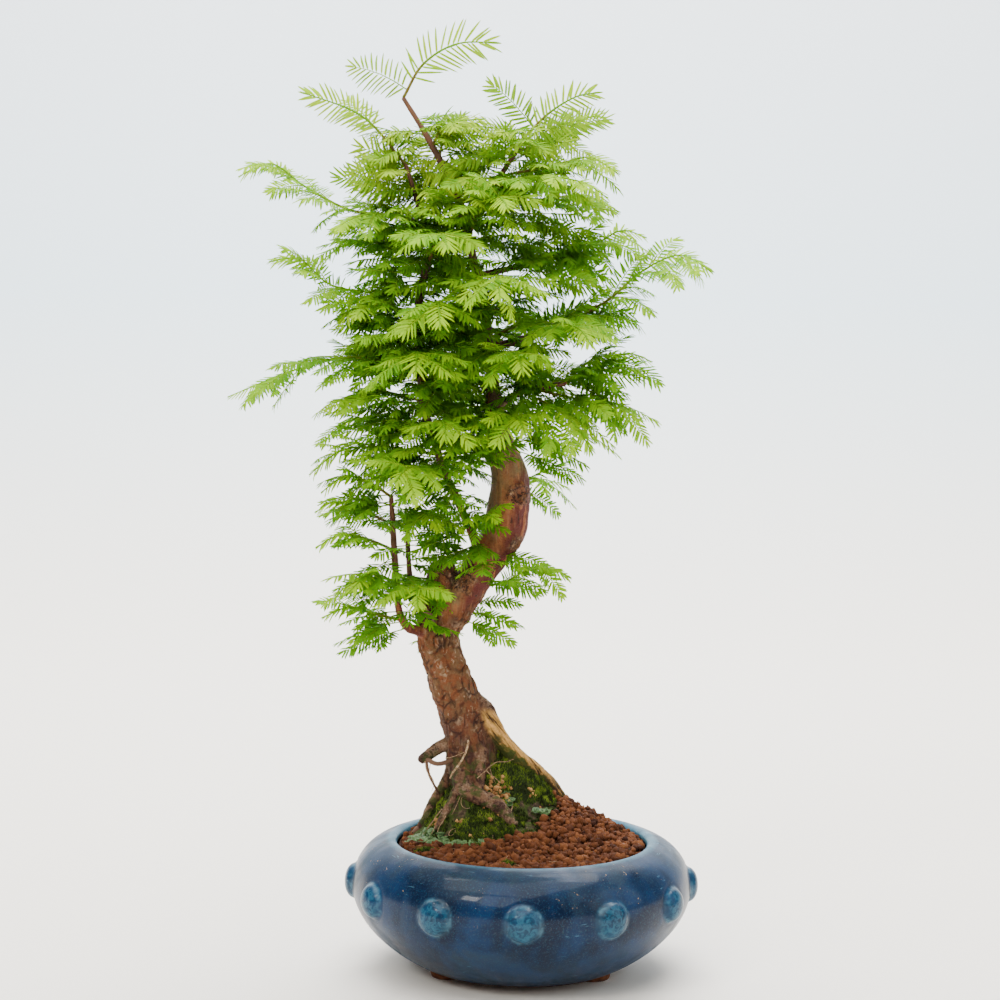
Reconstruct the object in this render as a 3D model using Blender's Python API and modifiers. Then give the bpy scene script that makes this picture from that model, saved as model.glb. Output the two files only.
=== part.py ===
"""A dawn redwood bonsai in its glazed drum pot: the pot with its studs and feet, the drain mesh and
its clip, the granular soil, the old root ball with its moss, the wood of the tree, and its sprays.

Lengths in the tables are in millimetres, measured from the middle of the pot's foot plane:
x to the right, y to the back, z up. MM turns them to metres when a mesh is made."""

import math

import bmesh
import bpy
import numpy as np
from mathutils import Matrix, Vector
from mathutils.bvhtree import BVHTree

MM = 0.001
# The crown reaches further left than right, so the middle of the whole lies left of the pot's axis.
POT_AXIS = (0.035, 0.0, 0.0)
GAP = 0.35
BED_LIFT = 0.5
NAME = "Dawn redwood bonsai"

# Pot
POT_SIDES = 32
FOOT_HEIGHT = 3.6
BELLY_RADIUS = 104.4
BELLY_HEIGHT = 52.5
BELLY_CORE = 60.0
SHOULDER_RISE = 29.5
SHOULDER_BEND = 0.62
KEEL_DROP = 49.0
KEEL_BEND = 1.75
LIP_RADIUS = 80.5
RIM_HEIGHT = 80.3
OPENING_RADIUS = 77.0
POT_WALL = 9.0
FLOOR_TOP = 12.0
INSIDE_HEIGHTS = (FLOOR_TOP, 30.0, 52.5, 67.0)
DRAIN_RADIUS = 10.0
STUD_COUNT = 12
STUD_RADIUS = 11.0
STUD_DEPTH = 6.4
STUD_SEAT = 102.9
STUD_HEIGHT = 52.5
FOOT_RING = 51.0
FOOT_RADIUS = 11.0
FOOT_ANGLES = (90.0, 210.0, 330.0)

# Drain mesh and its clip
MESH_RADIUS = 16.0
MESH_THICK = 1.2
MESH_HOLE = 3.0
MESH_PITCH = 6.4
CLIP_RADIUS = 0.7

# Soil and root ball
SOIL_EDGE = 77.5
SOIL_RISE = 22.0
SOIL_FADE = 30.0
SOIL_PEAK = (6.0, 30.0)
SOIL_SPREAD = (38.0, 34.0)
GRAIN = 1.3
BALL_CENTRE = (-23.0, 17.0)
BALL_HALF = (48.0, 42.0)
BALL_BOTTOM = 38.0
MOUND_BASE = 72.0
MOUND_RISE = 47.0
MOUND_PEAK = (-32.0, 25.0)
MOUND_SPREAD = {"left": 18.0, "right": 26.0, "front": 24.0, "back": 24.0}
BANK_RISE = 32.0
BANK_PEAK = (2.0, 40.0)
BANK_SPREAD = (24.0, 20.0)

# Wood: rows of x, y, z and radius
STEMS = {
    "bole": (
        (-32, 26, 90, 19.5),
        (-32, 25, 106, 17),
        (-32, 24, 121, 16.1),
        (-34, 23, 140, 15.4),
        (-40, 21, 159, 14.5),
        (-47, 19, 178, 13.2),
        (-52.5, 17, 197, 12.6),
        (-54, 16, 212, 12.4),
        (-54, 15, 226, 10.5),
        (-52, 14, 240, 8.6),
        (-51, 13, 248, 7.2),
    ),
    "trunk": (
        (-51, 16, 208, 10.5),
        (-45, 15.5, 219, 11.6),
        (-37, 14.5, 232, 11.4),
        (-30, 13, 243, 11),
        (-22, 12, 255, 11.3),
        (-14, 10, 269, 12.9),
        (-11, 8, 286, 13.1),
        (-11, 6, 304, 11.3),
        (-15, 4, 318, 9.6),
        (-18, 3, 330, 7.8),
        (-20, 2, 345, 6),
        (-22, 1, 363, 4.4),
        (-24, 0, 381, 3.7),
        (-28, 0, 405, 3.2),
        (-34, 0, 433, 2.8),
        (-42, 0, 463, 2.4),
        (-51, 0, 486, 2.1),
        (-64, 0, 510, 1.7),
        (-78, 0, 532, 1.3),
    ),
    "leader": (
        (-24, 11, 252, 3.8),
        (-29, 9, 258, 3.3),
        (-34, 2, 271, 2.8),
        (-39, -3, 282, 2.7),
        (-45, -7, 296, 2.5),
        (-51, -9, 308, 2.5),
        (-56, -10, 324, 2.4),
        (-63, -10, 345, 2.6),
        (-65, -8, 363, 2.4),
        (-67, -6, 387, 2.4),
        (-67, -4, 411, 2.4),
        (-63, -3, 430, 2.5),
        (-60, -3, 447, 2.1),
        (-67, -4, 464, 1.6),
        (-71, -5, 477, 1.4),
        (-76, -6, 492, 1.2),
    ),
    "right_limb": (
        (-22, 1, 383, 3),
        (-1, -2, 389, 2.4),
        (17, -4, 396, 2.1),
        (30, -5, 402, 1.8),
    ),
    "left_high": (
        (-62, -4, 455, 2),
        (-76, -4, 460, 1.6),
        (-88, -3, 462, 1.4),
    ),
    "low_shoot": (
        (-52, 14, 203, 5),
        (-64, 9, 207, 3.6),
        (-73, 4, 211, 3),
        (-78, 2, 224, 2.4),
        (-80, 0, 249, 2.1),
        (-82, 0, 277, 1.7),
        (-83, 0, 292, 1.3),
    ),
    "low_twig": (
        (-56, 16, 212, 2.8),
        (-66, 17, 220, 2.1),
        (-71, 18, 236, 1.8),
        (-73, 18, 258, 1.5),
        (-74, 18, 276, 1.3),
    ),
    "low_front": (
        (-55, 10, 214, 2.6),
        (-61, -1, 221, 1.9),
        (-65, -7, 231, 1.5),
    ),
    "top_right": (
        (-40, 0, 454, 2.2),
        (-26, -4, 475, 1.8),
        (-12, -6, 497, 1.5),
        (-4, -6, 510, 1.3),
    ),
    "up_right": (
        (-32, 1, 426, 2.2),
        (-11, 6, 431, 1.8),
        (11, 9, 436, 1.4),
    ),
    "mid_right": (
        (-20, 2, 346, 2.8),
        (-7, -4, 355, 2),
        (11, -8, 360, 1.7),
        (22, -9, 362, 1.5),
    ),
    "back_low": (
        (-19, 4, 332, 2.6),
        (-22, 20, 338, 1.9),
        (-26, 36, 343, 1.4),
    ),
    "back_high": (
        (-29, 0, 408, 2.4),
        (-33, 18, 416, 1.7),
        (-37, 32, 422, 1.4),
    ),
}
ROOTS = {
    "dead_root": (
        (-34, 21, 165, 5),
        (-24.5, 19, 156, 6.6),
        (-16, 20, 141, 5.8),
        (-4, 26, 127.5, 5),
        (8, 34, 116.5, 4.6),
        (17.5, 41, 107, 4.2),
        (26, 48, 95, 3.6),
        (35, 55, 84, 2.9),
        (40, 58, 74, 2),
    ),
    "centre_root": (
        (-37, 19, 126, 7),
        (-39, 11, 116, 5.8),
        (-34, 5, 108, 5.2),
        (-26, 2, 105, 5),
        (-18, 1, 102, 4.6),
        (-11, 0, 96, 4.1),
        (-3, -1, 85, 3.5),
        (2, -2, 76, 2.7),
    ),
    "left_root": (
        (-40, 24, 120, 6),
        (-47, 22, 112, 3.8),
        (-52, 21, 104, 3.1),
        (-57, 20, 95, 2.9),
        (-61, 20, 85, 2.6),
        (-67, 20, 78, 2),
        (-72, 20, 72, 1.4),
    ),
    "slant_root": (
        (-36, 22, 118, 4),
        (-42, 9, 105, 2.8),
        (-47, 3, 96, 2.6),
        (-52, 0, 84, 2.4),
        (-55, -1, 75, 2),
    ),
    "stub_root": (
        (-38, 21, 138, 5.5),
        (-50, 18, 134, 4.2),
        (-58, 16, 129, 3.7),
        (-64, 14, 125, 2.8),
    ),
    "pale_root": (
        (-33, 12, 145, 1.6),
        (-34, 5, 138, 1.3),
        (-37, 0, 131, 1.2),
        (-41, -3, 124, 1.2),
        (-45, -5, 117, 1.1),
    ),
    "loop_root": (
        (-61, 14, 127, 1.5),
        (-53, 10, 124, 1.4),
        (-43, 14, 126, 1.5),
    ),
    "hanging_root": (
        (-60, 13, 125, 1),
        (-58, 10, 117, 0.8),
        (-54, 11, 109, 0.8),
        (-52, 20, 103, 0.9),
    ),
    "ridge_root": (
        (-26, 12, 134, 3.5),
        (-26, 7, 118, 2.6),
        (-26, 5, 106, 2.2),
    ),
    "back_root": (
        (-30, 34, 120, 6),
        (-25, 46, 106, 4),
        (-20, 54, 91, 3.1),
        (-17, 59, 76, 2.2),
    ),
    "side_root": (
        (-34, 28, 120, 5),
        (-48, 40, 100, 3.2),
        (-54, 46, 86, 2.4),
        (-57, 49, 75, 1.8),
    ),
}
TUBE_SIDES = {"bole": 4, "trunk": 3, "dead_root": 1, "centre_root": 2, "leader": 1, "stub_root": 1}
FLUTED = ("bole",)

# Sprays. Each row: name, stem that carries it, height on that stem, the points that its shoot passes
# after leaving the stem, length of its end frond, length of its needles, how far the fronds face the
# front (0 lies flat, 1 stands), and its side fronds: share of the shoot, turn, lift and length.
SPRAYS = (
    ("apex", "trunk", 532, ((-66, -4, 552), (-46, -6, 564), (-21, -8, 565)), 56, 18, 0.9,
     ((0.02, 176, 12, 44),)),
    ("top_left", "leader", 492, ((-102, -10, 520), (-139, -14, 534)), 46, 14, 0.7,
     ((0.3, -50, 30, 36),)),
    ("top_right_tip", "top_right", 510, ((10, -5, 524), (26, -3, 534), (41, -2, 537)), 44, 14, 0.8,
     ((0.05, 176, 42, 42),)),
    ("long_left", "left_high", 462, ((-111, -2, 465), (-138, 2, 479), (-158, 6, 492), (-178, 8, 484)),
     38, 10, 0.25, ((0.25, 55, 5, 32), (0.4, -50, 25, 30), (0.72, 45, 5, 22))),
    ("long_right", "right_limb", 402, ((49, -8, 414), (67, -10, 430), (89, -15, 440), (109, -20, 430)),
     40, 13, 0.35, ((0.2, 35, 50, 38), (0.42, -45, -5, 36), (0.5, 50, 40, 32))),
    ("far_left", "leader", 366, ((-106, -12, 376), (-141, -12, 368), (-182, -10, 351)), 40, 10, 0.15,
     ((0.3, 50, 0, 34), (0.42, -45, 5, 32), (0.62, 45, -5, 26))),
    ("fork_left", "leader", 414, ((-116, -14, 418), (-138, -15, 434), (-157, -14, 433)), 32, 11, 0.3,
     ((0.45, 48, -10, 32), (0.3, -45, 5, 32))),
    ("tier_right_high", "mid_right", 362, ((42, 2, 372), (60, 9, 380), (76, 14, 375)), 36, 12, 0.2,
     ((0.2, -45, 5, 36), (0.35, 48, 5, 26))),
    ("tier_right_low", "mid_right", 358, ((34, -14, 352), (54, -8, 350), (70, -4, 341)), 36, 11, 0.15,
     ((0.45, -42, -5, 30),)),
    ("upper_right", "up_right", 436, ((39, 18, 446), (56, 25, 455), (72, 30, 451)), 32, 11, 0.3,
     ((0.25, -60, 10, 32), (0.3, 40, 10, 24))),
    ("crown_right_a", "top_right", 500, ((14, 2, 510), (32, 8, 522), (45, 12, 523)), 36, 13, 0.6, ()),
    ("crown_right_b", "top_right", 486, ((12, -16, 492), (34, -21, 497), (52, -24, 487)), 36, 12, 0.2,
     ((0.4, -45, 0, 30),)),
    ("crown_right_c", "top_right", 468, ((4, 12, 472), (32, 17, 476), (55, 20, 466)), 36, 11, 0.15,
     ((0.35, 45, 5, 32), (0.45, -40, 5, 28))),
    ("crown_front_right", "top_right", 474, ((-4, -38, 484), (26, -50, 482), (44, -58, 472)), 34, 11, 0.2,
     ((0.35, -50, 0, 34),)),
    ("low_right", "trunk", 234, ((-14, 24, 236), (8, 29, 246), (29, 30, 239)), 34, 9, 0.3,
     ((0.35, 40, -12, 34), (0.3, -38, -8, 26))),
    ("low_left_end", "low_shoot", 214, ((-90, 2, 218), (-109, 3, 222), (-125, 4, 215)), 34, 9, 0.2,
     ((0.1, 55, -14, 32),)),
    ("low_left_fan", "low_shoot", 238, ((-94, -22, 246), (-106, -42, 237)), 30, 10, 0.1,
     ((0.3, 40, 0, 24),)),
    ("low_left_mid", "low_shoot", 258, ((-98, -8, 266), (-114, -11, 268), (-128, -12, 260)), 34, 9, 0.2,
     ((0.35, 42, 0, 24),)),
    ("low_left_high", "low_shoot", 274, ((-102, 8, 282), (-118, 14, 286), (-131, 18, 279)), 34, 9, 0.2,
     ((0.3, -45, 8, 30),)),
    ("low_left_top", "low_shoot", 291, ((-96, -8, 300), (-110, -12, 304), (-125, -12, 294)), 30, 9, 0.2,
     ((0.15, 55, 5, 30), (0.25, -50, 5, 28))),
    ("left_tier_a", "leader", 350, ((-90, -14, 356), (-106, -18, 352), (-119, -20, 341)), 32, 10, 0.15,
     ((0.3, 45, 0, 28),)),
    ("left_tier_b", "leader", 334, ((-90, 6, 338), (-110, 16, 336), (-127, 22, 322)), 34, 10, 0.15,
     ((0.35, -42, 5, 28),)),
    ("left_tier_c", "leader", 318, ((-86, -14, 322), (-112, -16, 320), (-132, -16, 305)), 36, 10, 0.15,
     ((0.3, 45, 0, 32),)),
    ("left_tier_d", "leader", 398, ((-90, -18, 408), (-104, -24, 406), (-116, -28, 394)), 34, 11, 0.2, ()),
    ("left_tier_e", "leader", 440, ((-86, 10, 446), (-110, 22, 446), (-130, 30, 433)), 36, 11, 0.2,
     ((0.35, -42, 8, 32),)),
    ("left_tier_f", "leader", 384, ((-90, 12, 396), (-104, 22, 398), (-117, 30, 388)), 34, 10, 0.2,
     ((0.3, -45, 0, 26),)),
    ("left_tier_g", "left_high", 459, ((-92, -22, 462), (-108, -30, 458), (-120, -34, 449)), 32, 10, 0.2,
     ()),
    ("top_front", "trunk", 504, ((-50, -14, 516), (-28, -24, 519)), 34, 12, 0.3, ((0.2, 50, 10, 30),)),
    ("top_back", "trunk", 496, ((-54, 20, 508), (-50, 42, 512)), 36, 12, 0.2, ((0.2, 45, 10, 32),)),
    ("fan_front_a", "trunk", 330, ((-12, -28, 342), (-6, -50, 342), (-2, -64, 334)), 32, 11, 0.1,
     ((0.4, 45, 0, 28),)),
    ("fan_front_b", "leader", 322, ((-52, -36, 338), (-50, -58, 340), (-48, -74, 330)), 34, 11, 0.1,
     ((0.35, -45, 0, 28),)),
    ("fan_front_c", "leader", 360, ((-66, -36, 376), (-66, -62, 380), (-66, -84, 368)), 36, 12, 0.1,
     ((0.35, 42, 0, 30), (0.4, -42, 0, 28))),
    ("fan_front_d", "trunk", 366, ((-14, -30, 378), (-8, -58, 382), (-4, -82, 370)), 36, 12, 0.1,
     ((0.35, 42, 0, 30),)),
    ("fan_front_e", "leader", 388, ((-58, -38, 406), (-54, -66, 410), (-52, -92, 396)), 38, 12, 0.1,
     ((0.35, -42, 0, 30),)),
    ("fan_front_f", "trunk", 402, ((-22, -36, 420), (-20, -68, 426), (-18, -96, 412)), 38, 12, 0.1,
     ((0.35, 42, 0, 32), (0.45, -42, 0, 28))),
    ("fan_front_g", "leader", 430, ((-56, -34, 446), (-52, -60, 450), (-48, -84, 440)), 36, 12, 0.15,
     ((0.35, 42, 0, 30),)),
    ("fan_front_h", "trunk", 448, ((-30, -30, 466), (-20, -56, 472), (-14, -78, 464)), 36, 12, 0.2,
     ((0.35, -42, 0, 30),)),
    ("fan_front_i", "leader", 302, ((-62, -34, 312), (-72, -54, 312), (-80, -70, 302)), 32, 10, 0.1,
     ((0.35, 42, 0, 26),)),
    ("fan_right_a", "right_limb", 391, ((16, -32, 398), (28, -52, 396), (36, -68, 386)), 34, 11, 0.1,
     ((0.35, 42, 0, 30),)),
    ("fan_right_b", "mid_right", 356, ((16, -30, 348), (28, -42, 338), (38, -50, 322)), 34, 10, 0.1,
     ((0.35, 42, 0, 26),)),
    ("fan_low_a", "low_front", 231, ((-66, -28, 240), (-64, -50, 228)), 30, 10, 0.1,
     ((0.25, 48, 0, 26),)),
    ("fan_low_b", "leader", 268, ((-28, -18, 282), (-20, -34, 280)), 28, 9, 0.2, ((0.2, -60, -5, 28),)),
    ("fan_low_c", "low_twig", 276, ((-68, 2, 284), (-58, -26, 282), (-52, -38, 274)), 30, 9, 0.1, ()),
    ("back_a", "trunk", 292, ((0, 36, 300), (8, 58, 298), (14, 74, 286)), 34, 10, 0.1,
     ((0.35, 45, 0, 28), (0.4, -42, 0, 28))),
    ("back_b", "back_low", 343, ((-32, 58, 350), (-38, 78, 348), (-44, 94, 336)), 36, 11, 0.1,
     ((0.15, 50, 0, 34), (0.25, -50, 0, 34))),
    ("back_c", "back_high", 422, ((-42, 50, 432), (-48, 70, 432), (-54, 88, 420)), 36, 11, 0.1,
     ((0.15, 50, 0, 34), (0.25, -52, 0, 36))),
    ("back_d", "leader", 372, ((-80, 24, 380), (-92, 46, 380), (-102, 66, 368)), 36, 10, 0.1,
     ((0.35, -42, 0, 30),)),
    ("back_e", "trunk", 466, ((-36, 24, 480), (-30, 46, 484), (-24, 68, 474)), 36, 11, 0.15,
     ((0.35, -42, 0, 32),)),
    ("back_f", "trunk", 388, ((-2, 24, 398), (12, 46, 398), (24, 66, 386)), 36, 11, 0.1,
     ((0.35, 42, 0, 30),)),
)
TURNS = (0, 6, -6, 12, -12, 18, -18, 24, -24, 30, -30)
LIFTS = (0, 5, -5, 10, -10, 15)
NEEDLE_CLEAR = 3.4
SHOOT_ROOT = 1.4
SHOOT_TIP = 1.15
LONG_STEP = 22.0
BLADE = 0.8
SIDE_START = 4.0
END_LAP = 2.5
END_SHARE = 0.4
DROOP = 0.3
RIB = 0.8
ROOT_HALF = 0.45
FIRST_NOTCH = 0.13
TOOTH_PITCH = 8.8

WOOD_COLOUR = (0.19, 0.105, 0.07)
GLAZE_COLOUR = (0.035, 0.085, 0.19)
SOIL_COLOUR = (0.2, 0.07, 0.035)
MOUND_COLOUR = (0.075, 0.06, 0.03)
MOSS_COLOUR = (0.07, 0.13, 0.02)
LIVERWORT_COLOUR = (0.12, 0.24, 0.16)
NEEDLE_COLOUR = (0.2, 0.42, 0.04)
MESH_COLOUR = (0.02, 0.02, 0.02)
WIRE_COLOUR = (0.6, 0.6, 0.6)


# Scene and materials


def clear_scene():
    for item in list(bpy.data.objects):
        bpy.data.objects.remove(item, do_unlink=True)


def new_collection(name):
    collection = bpy.data.collections.new(name)
    bpy.context.scene.collection.children.link(collection)
    return collection


def finish(name, colour, roughness, metallic=0.0):
    material = bpy.data.materials.new(name)
    material.use_nodes = True
    shader = material.node_tree.nodes["Principled BSDF"]
    shader.inputs["Base Color"].default_value = (*colour, 1.0)
    shader.inputs["Roughness"].default_value = roughness
    shader.inputs["Metallic"].default_value = metallic
    return material


# Meshes and Booleans


def add_object(name, mesh, collection, material=None):
    item = bpy.data.objects.new(name, mesh)
    item.location = POT_AXIS
    collection.objects.link(item)
    if material:
        mesh.materials.clear()
        mesh.materials.append(material)
    return item


def mesh_from(name, points, faces):
    """A mesh of triangles from points in millimetres, with its faces turned outwards."""
    mesh = bpy.data.meshes.new(name)
    mesh.from_pydata((np.asarray(points, float) * MM).tolist(), [], faces)
    work = bmesh.new()
    work.from_mesh(mesh)
    bmesh.ops.recalc_face_normals(work, faces=work.faces)
    bmesh.ops.triangulate(work, faces=work.faces)
    work.to_mesh(mesh)
    work.free()
    return mesh


def baked(item):
    """The object's mesh with its modifiers applied, as a new mesh whose caps are welded."""
    bpy.context.view_layer.update()
    graph = bpy.context.evaluated_depsgraph_get()
    mesh = bpy.data.meshes.new_from_object(item.evaluated_get(graph))
    work = bmesh.new()
    work.from_mesh(mesh)
    bmesh.ops.remove_doubles(work, verts=work.verts, dist=1e-6)
    work.to_mesh(mesh)
    work.free()
    return mesh


def settle(item):
    """Applies the object's modifiers and keeps the largest of the bodies that they leave."""
    mesh = baked(item)
    item.modifiers.clear()
    work = bmesh.new()
    work.from_mesh(mesh)
    bodies = []
    left = set(work.verts)
    while left:
        body = set()
        edge = [left.pop()]
        while edge:
            vertex = edge.pop()
            body.add(vertex)
            for link in vertex.link_edges:
                other = link.other_vert(vertex)
                if other in left:
                    left.remove(other)
                    edge.append(other)
        bodies.append(body)
    bodies.sort(key=len)
    for scrap in bodies[:-1]:
        bmesh.ops.delete(work, geom=list(scrap), context="VERTS")
    work.to_mesh(mesh)
    work.free()
    for material in item.data.materials:
        mesh.materials.clear()
        mesh.materials.append(material)
    item.data = mesh


def united(name, pieces, collection, material, solver="MANIFOLD"):
    """One Boolean union of the first piece with the rest, applied, with the pieces removed."""
    first, rest = pieces[0], pieces[1:]
    group = bpy.data.collections.new(name + " pieces")
    bpy.context.scene.collection.children.link(group)
    for piece in rest:
        for owner in list(piece.users_collection):
            owner.objects.unlink(piece)
        group.objects.link(piece)
    if rest:
        union = first.modifiers.new("union", "BOOLEAN")
        union.operation = "UNION"
        union.operand_type = "COLLECTION"
        union.collection = group
        union.solver = solver
    mesh = baked(first)
    for piece in pieces:
        bpy.data.objects.remove(piece, do_unlink=True)
    bpy.data.collections.remove(group)
    return add_object(name, mesh, collection, material)


def cut(item, cutters, solver="MANIFOLD"):
    for cutter in cutters:
        modifier = item.modifiers.new("cut " + cutter.name, "BOOLEAN")
        modifier.operation = "DIFFERENCE"
        modifier.object = cutter
        modifier.solver = solver


def as_cutter(item):
    item.hide_render = True
    item.display_type = "WIRE"
    return item


def tube(name, rows, collection, resolution, extra=0.0):
    """A tapering stem: a curve through rows of x, y, z and radius, made a closed mesh of triangles."""
    curve = bpy.data.curves.new(name, "CURVE")
    curve.dimensions = "3D"
    curve.bevel_depth = MM
    curve.bevel_resolution = resolution
    curve.use_fill_caps = True
    spline = curve.splines.new("POLY")
    spline.points.add(len(rows) - 1)
    for point, row in zip(spline.points, rows):
        point.co = (row[0] * MM, row[1] * MM, row[2] * MM, 1.0)
        point.radius = row[3] + extra
    guide = add_object(name + " curve", curve, collection)
    mesh = baked(guide)
    bpy.data.objects.remove(guide, do_unlink=True)
    work = bmesh.new()
    work.from_mesh(mesh)
    bmesh.ops.triangulate(work, faces=work.faces, quad_method="FIXED")
    work.to_mesh(mesh)
    work.free()
    return add_object(name, mesh, collection)


def ring_skin(name, rings, start, end):
    """A closed skin over a stack of rings with the same number of points, with a pole at each end."""
    rings = np.asarray(rings, float)
    count, sides = rings.shape[:2]
    points = np.vstack([[start], rings.reshape(-1, 3), [end]])
    index = 1 + np.arange(count * sides).reshape(count, sides)
    after = np.roll(index, -1, axis=1)
    quads = np.stack([index[:-1], after[:-1], after[1:], index[1:]], axis=-1).reshape(-1, 4)
    first = np.stack([np.zeros(sides, int), after[0], index[0]], axis=-1)
    last = np.stack([np.full(sides, len(points) - 1), index[-1], after[-1]], axis=-1)
    return mesh_from(name, points, quads.tolist() + first.tolist() + last.tolist())


def grain(x, y, seed):
    """An even scatter from -1 to 1 that depends only on the place."""
    wave = np.sin(x * 12.9898 + y * 78.233 + seed * 37.719) * 43758.5453
    return 2.0 * (wave - np.floor(wave)) - 1.0


# Pot


def belly_radius(height, inset=0.0):
    """The pot's radius at a height: a quarter oval above the belly and a slimmer one below it."""
    above = height > BELLY_HEIGHT
    rise = (height - BELLY_HEIGHT) / (SHOULDER_RISE if above else KEEL_DROP)
    bend = SHOULDER_BEND if above else KEEL_BEND
    across = math.sqrt(max(0.0, 1.0 - rise * rise)) ** bend
    return BELLY_CORE + (BELLY_RADIUS - BELLY_CORE) * across - inset


def pot_profile():
    """Radius and height of the wall's section, down the outside and back up the inside."""
    outside = [(belly_radius(z), z) for z in (79.3, 75.0, 67.5, 52.5, 37.0, 24.0, 12.0, FOOT_HEIGHT)]
    base = [(DRAIN_RADIUS, FOOT_HEIGHT), (DRAIN_RADIUS, FLOOR_TOP)]
    inside = [(belly_radius(z, POT_WALL), z) for z in INSIDE_HEIGHTS]
    lip = [(OPENING_RADIUS, 76.0), (OPENING_RADIUS, 78.5), (LIP_RADIUS, RIM_HEIGHT)]
    return outside + base + inside + lip


def make_bowl(collection):
    profile = pot_profile()
    mesh = bpy.data.meshes.new("bowl profile")
    edges = [(i, (i + 1) % len(profile)) for i in range(len(profile))]
    mesh.from_pydata([(r * MM, 0.0, z * MM) for r, z in profile], edges, [])
    bowl = add_object("bowl", mesh, collection)
    screw = bowl.modifiers.new("turn", "SCREW")
    screw.steps = screw.render_steps = POT_SIDES
    screw.use_merge_vertices = True
    screw.merge_threshold = 0.0001
    solid = add_object("bowl solid", baked(bowl), collection)
    bpy.data.objects.remove(bowl, do_unlink=True)
    return solid


def make_stud(index, collection):
    """A domed stud: a flattened ball set into the wall on the belly line."""
    mesh = bpy.data.meshes.new("stud")
    work = bmesh.new()
    bmesh.ops.create_uvsphere(work, u_segments=8, v_segments=5, radius=1.0)
    bmesh.ops.rotate(work, verts=work.verts, matrix=Matrix.Rotation(math.radians(90), 3, "Y"))
    bmesh.ops.scale(work, vec=Vector((STUD_DEPTH, STUD_RADIUS, STUD_RADIUS)) * MM, verts=work.verts)
    work.to_mesh(mesh)
    work.free()
    angle = math.radians(-89.7 + index * 360.0 / STUD_COUNT)
    stud = add_object(f"stud {index}", mesh, collection)
    stud.rotation_euler = (0.0, 0.0, angle)
    stud.location = (
        POT_AXIS[0] + STUD_SEAT * MM * math.cos(angle),
        POT_AXIS[1] + STUD_SEAT * MM * math.sin(angle),
        STUD_HEIGHT * MM,
    )
    return stud


def make_foot(angle, collection):
    """A low round foot, sunk into the underside."""
    mesh = bpy.data.meshes.new("foot")
    work = bmesh.new()
    height = FOOT_HEIGHT + 4.0
    bmesh.ops.create_cone(
        work, cap_ends=True, segments=12, radius1=(FOOT_RADIUS - 1.2) * MM, radius2=FOOT_RADIUS * MM,
        depth=height * MM,
    )
    work.to_mesh(mesh)
    work.free()
    foot = add_object("foot", mesh, collection)
    turn = math.radians(angle)
    foot.location = (
        POT_AXIS[0] + FOOT_RING * MM * math.cos(turn),
        POT_AXIS[1] + FOOT_RING * MM * math.sin(turn),
        height * MM / 2,
    )
    return foot


def make_pot(collection):
    pieces = [make_bowl(collection)]
    pieces += [make_stud(index, collection) for index in range(STUD_COUNT)]
    pieces += [make_foot(angle, collection) for angle in FOOT_ANGLES]
    pot = united("pot", pieces, collection, finish("blue glaze", GLAZE_COLOUR, 0.28))
    pot.data.set_sharp_from_angle(angle=math.radians(35))
    return pot


def make_drain_mesh(collection, cutters):
    """A round plastic sheet with a grid of square holes, laid over the drain."""
    mesh = bpy.data.meshes.new("drain mesh")
    work = bmesh.new()
    bmesh.ops.create_cone(
        work, cap_ends=True, segments=16, radius1=MESH_RADIUS * MM, radius2=MESH_RADIUS * MM,
        depth=MESH_THICK * MM,
    )
    work.to_mesh(mesh)
    work.free()
    sheet = add_object("drain_mesh", mesh, collection, finish("black plastic mesh", MESH_COLOUR, 0.6))
    middle = FLOOR_TOP + GAP + MESH_THICK / 2
    sheet.location.z = middle * MM
    for column, row in ((0, 0), (-1, 0), (1, 0), (0, -1), (0, 1)):
        hole = bpy.data.meshes.new("mesh hole")
        work = bmesh.new()
        bmesh.ops.create_cube(work, size=MESH_HOLE * MM)
        work.to_mesh(hole)
        work.free()
        cutter = as_cutter(add_object(f"mesh hole {column} {row}", hole, cutters))
        cutter.location.x += column * MESH_PITCH * MM
        cutter.location.y += row * MESH_PITCH * MM
        cutter.location.z = middle * MM
        cut(sheet, [cutter])
    settle(sheet)
    return sheet


def make_mesh_clip(collection):
    """The bent wire whose back lies on the mesh and whose legs pass down through it and the drain."""
    top = FLOOR_TOP + GAP + MESH_THICK + 0.3 + CLIP_RADIUS
    reach = MESH_PITCH
    low = FOOT_HEIGHT + 1.0
    rows = (
        (-reach, 0, low, CLIP_RADIUS),
        (-reach, 0, top - 0.8, CLIP_RADIUS),
        (-reach + 0.8, 0, top, CLIP_RADIUS),
        (reach - 0.8, 0, top, CLIP_RADIUS),
        (reach, 0, top - 0.8, CLIP_RADIUS),
        (reach, 0, low, CLIP_RADIUS),
    )
    clip = tube("mesh_clip", rows, collection, 1)
    clip.data.materials.append(finish("bare wire", WIRE_COLOUR, 0.35, 1.0))
    return clip


# Soil and root ball


def hill(x, y, peak, left, right, front, back):
    """A smooth hill from 0 to 1 whose spread differs on its four sides."""
    across = np.where(x < peak[0], left, right)
    along = np.where(y < peak[1], front, back)
    return np.exp(-((x - peak[0]) ** 2 / (2 * across**2) + (y - peak[1]) ** 2 / (2 * along**2)))


def soil_top(x, y):
    """The soil's height: a low hill towards the back that levels out before it meets the rim."""
    sx, sy = SOIL_SPREAD
    fade = np.clip((OPENING_RADIUS - np.hypot(x, y)) / SOIL_FADE, 0.0, 1.0)
    return SOIL_EDGE + SOIL_RISE * hill(x, y, SOIL_PEAK, sx, sx, sy, sy) * fade * (2.0 - fade)


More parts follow.
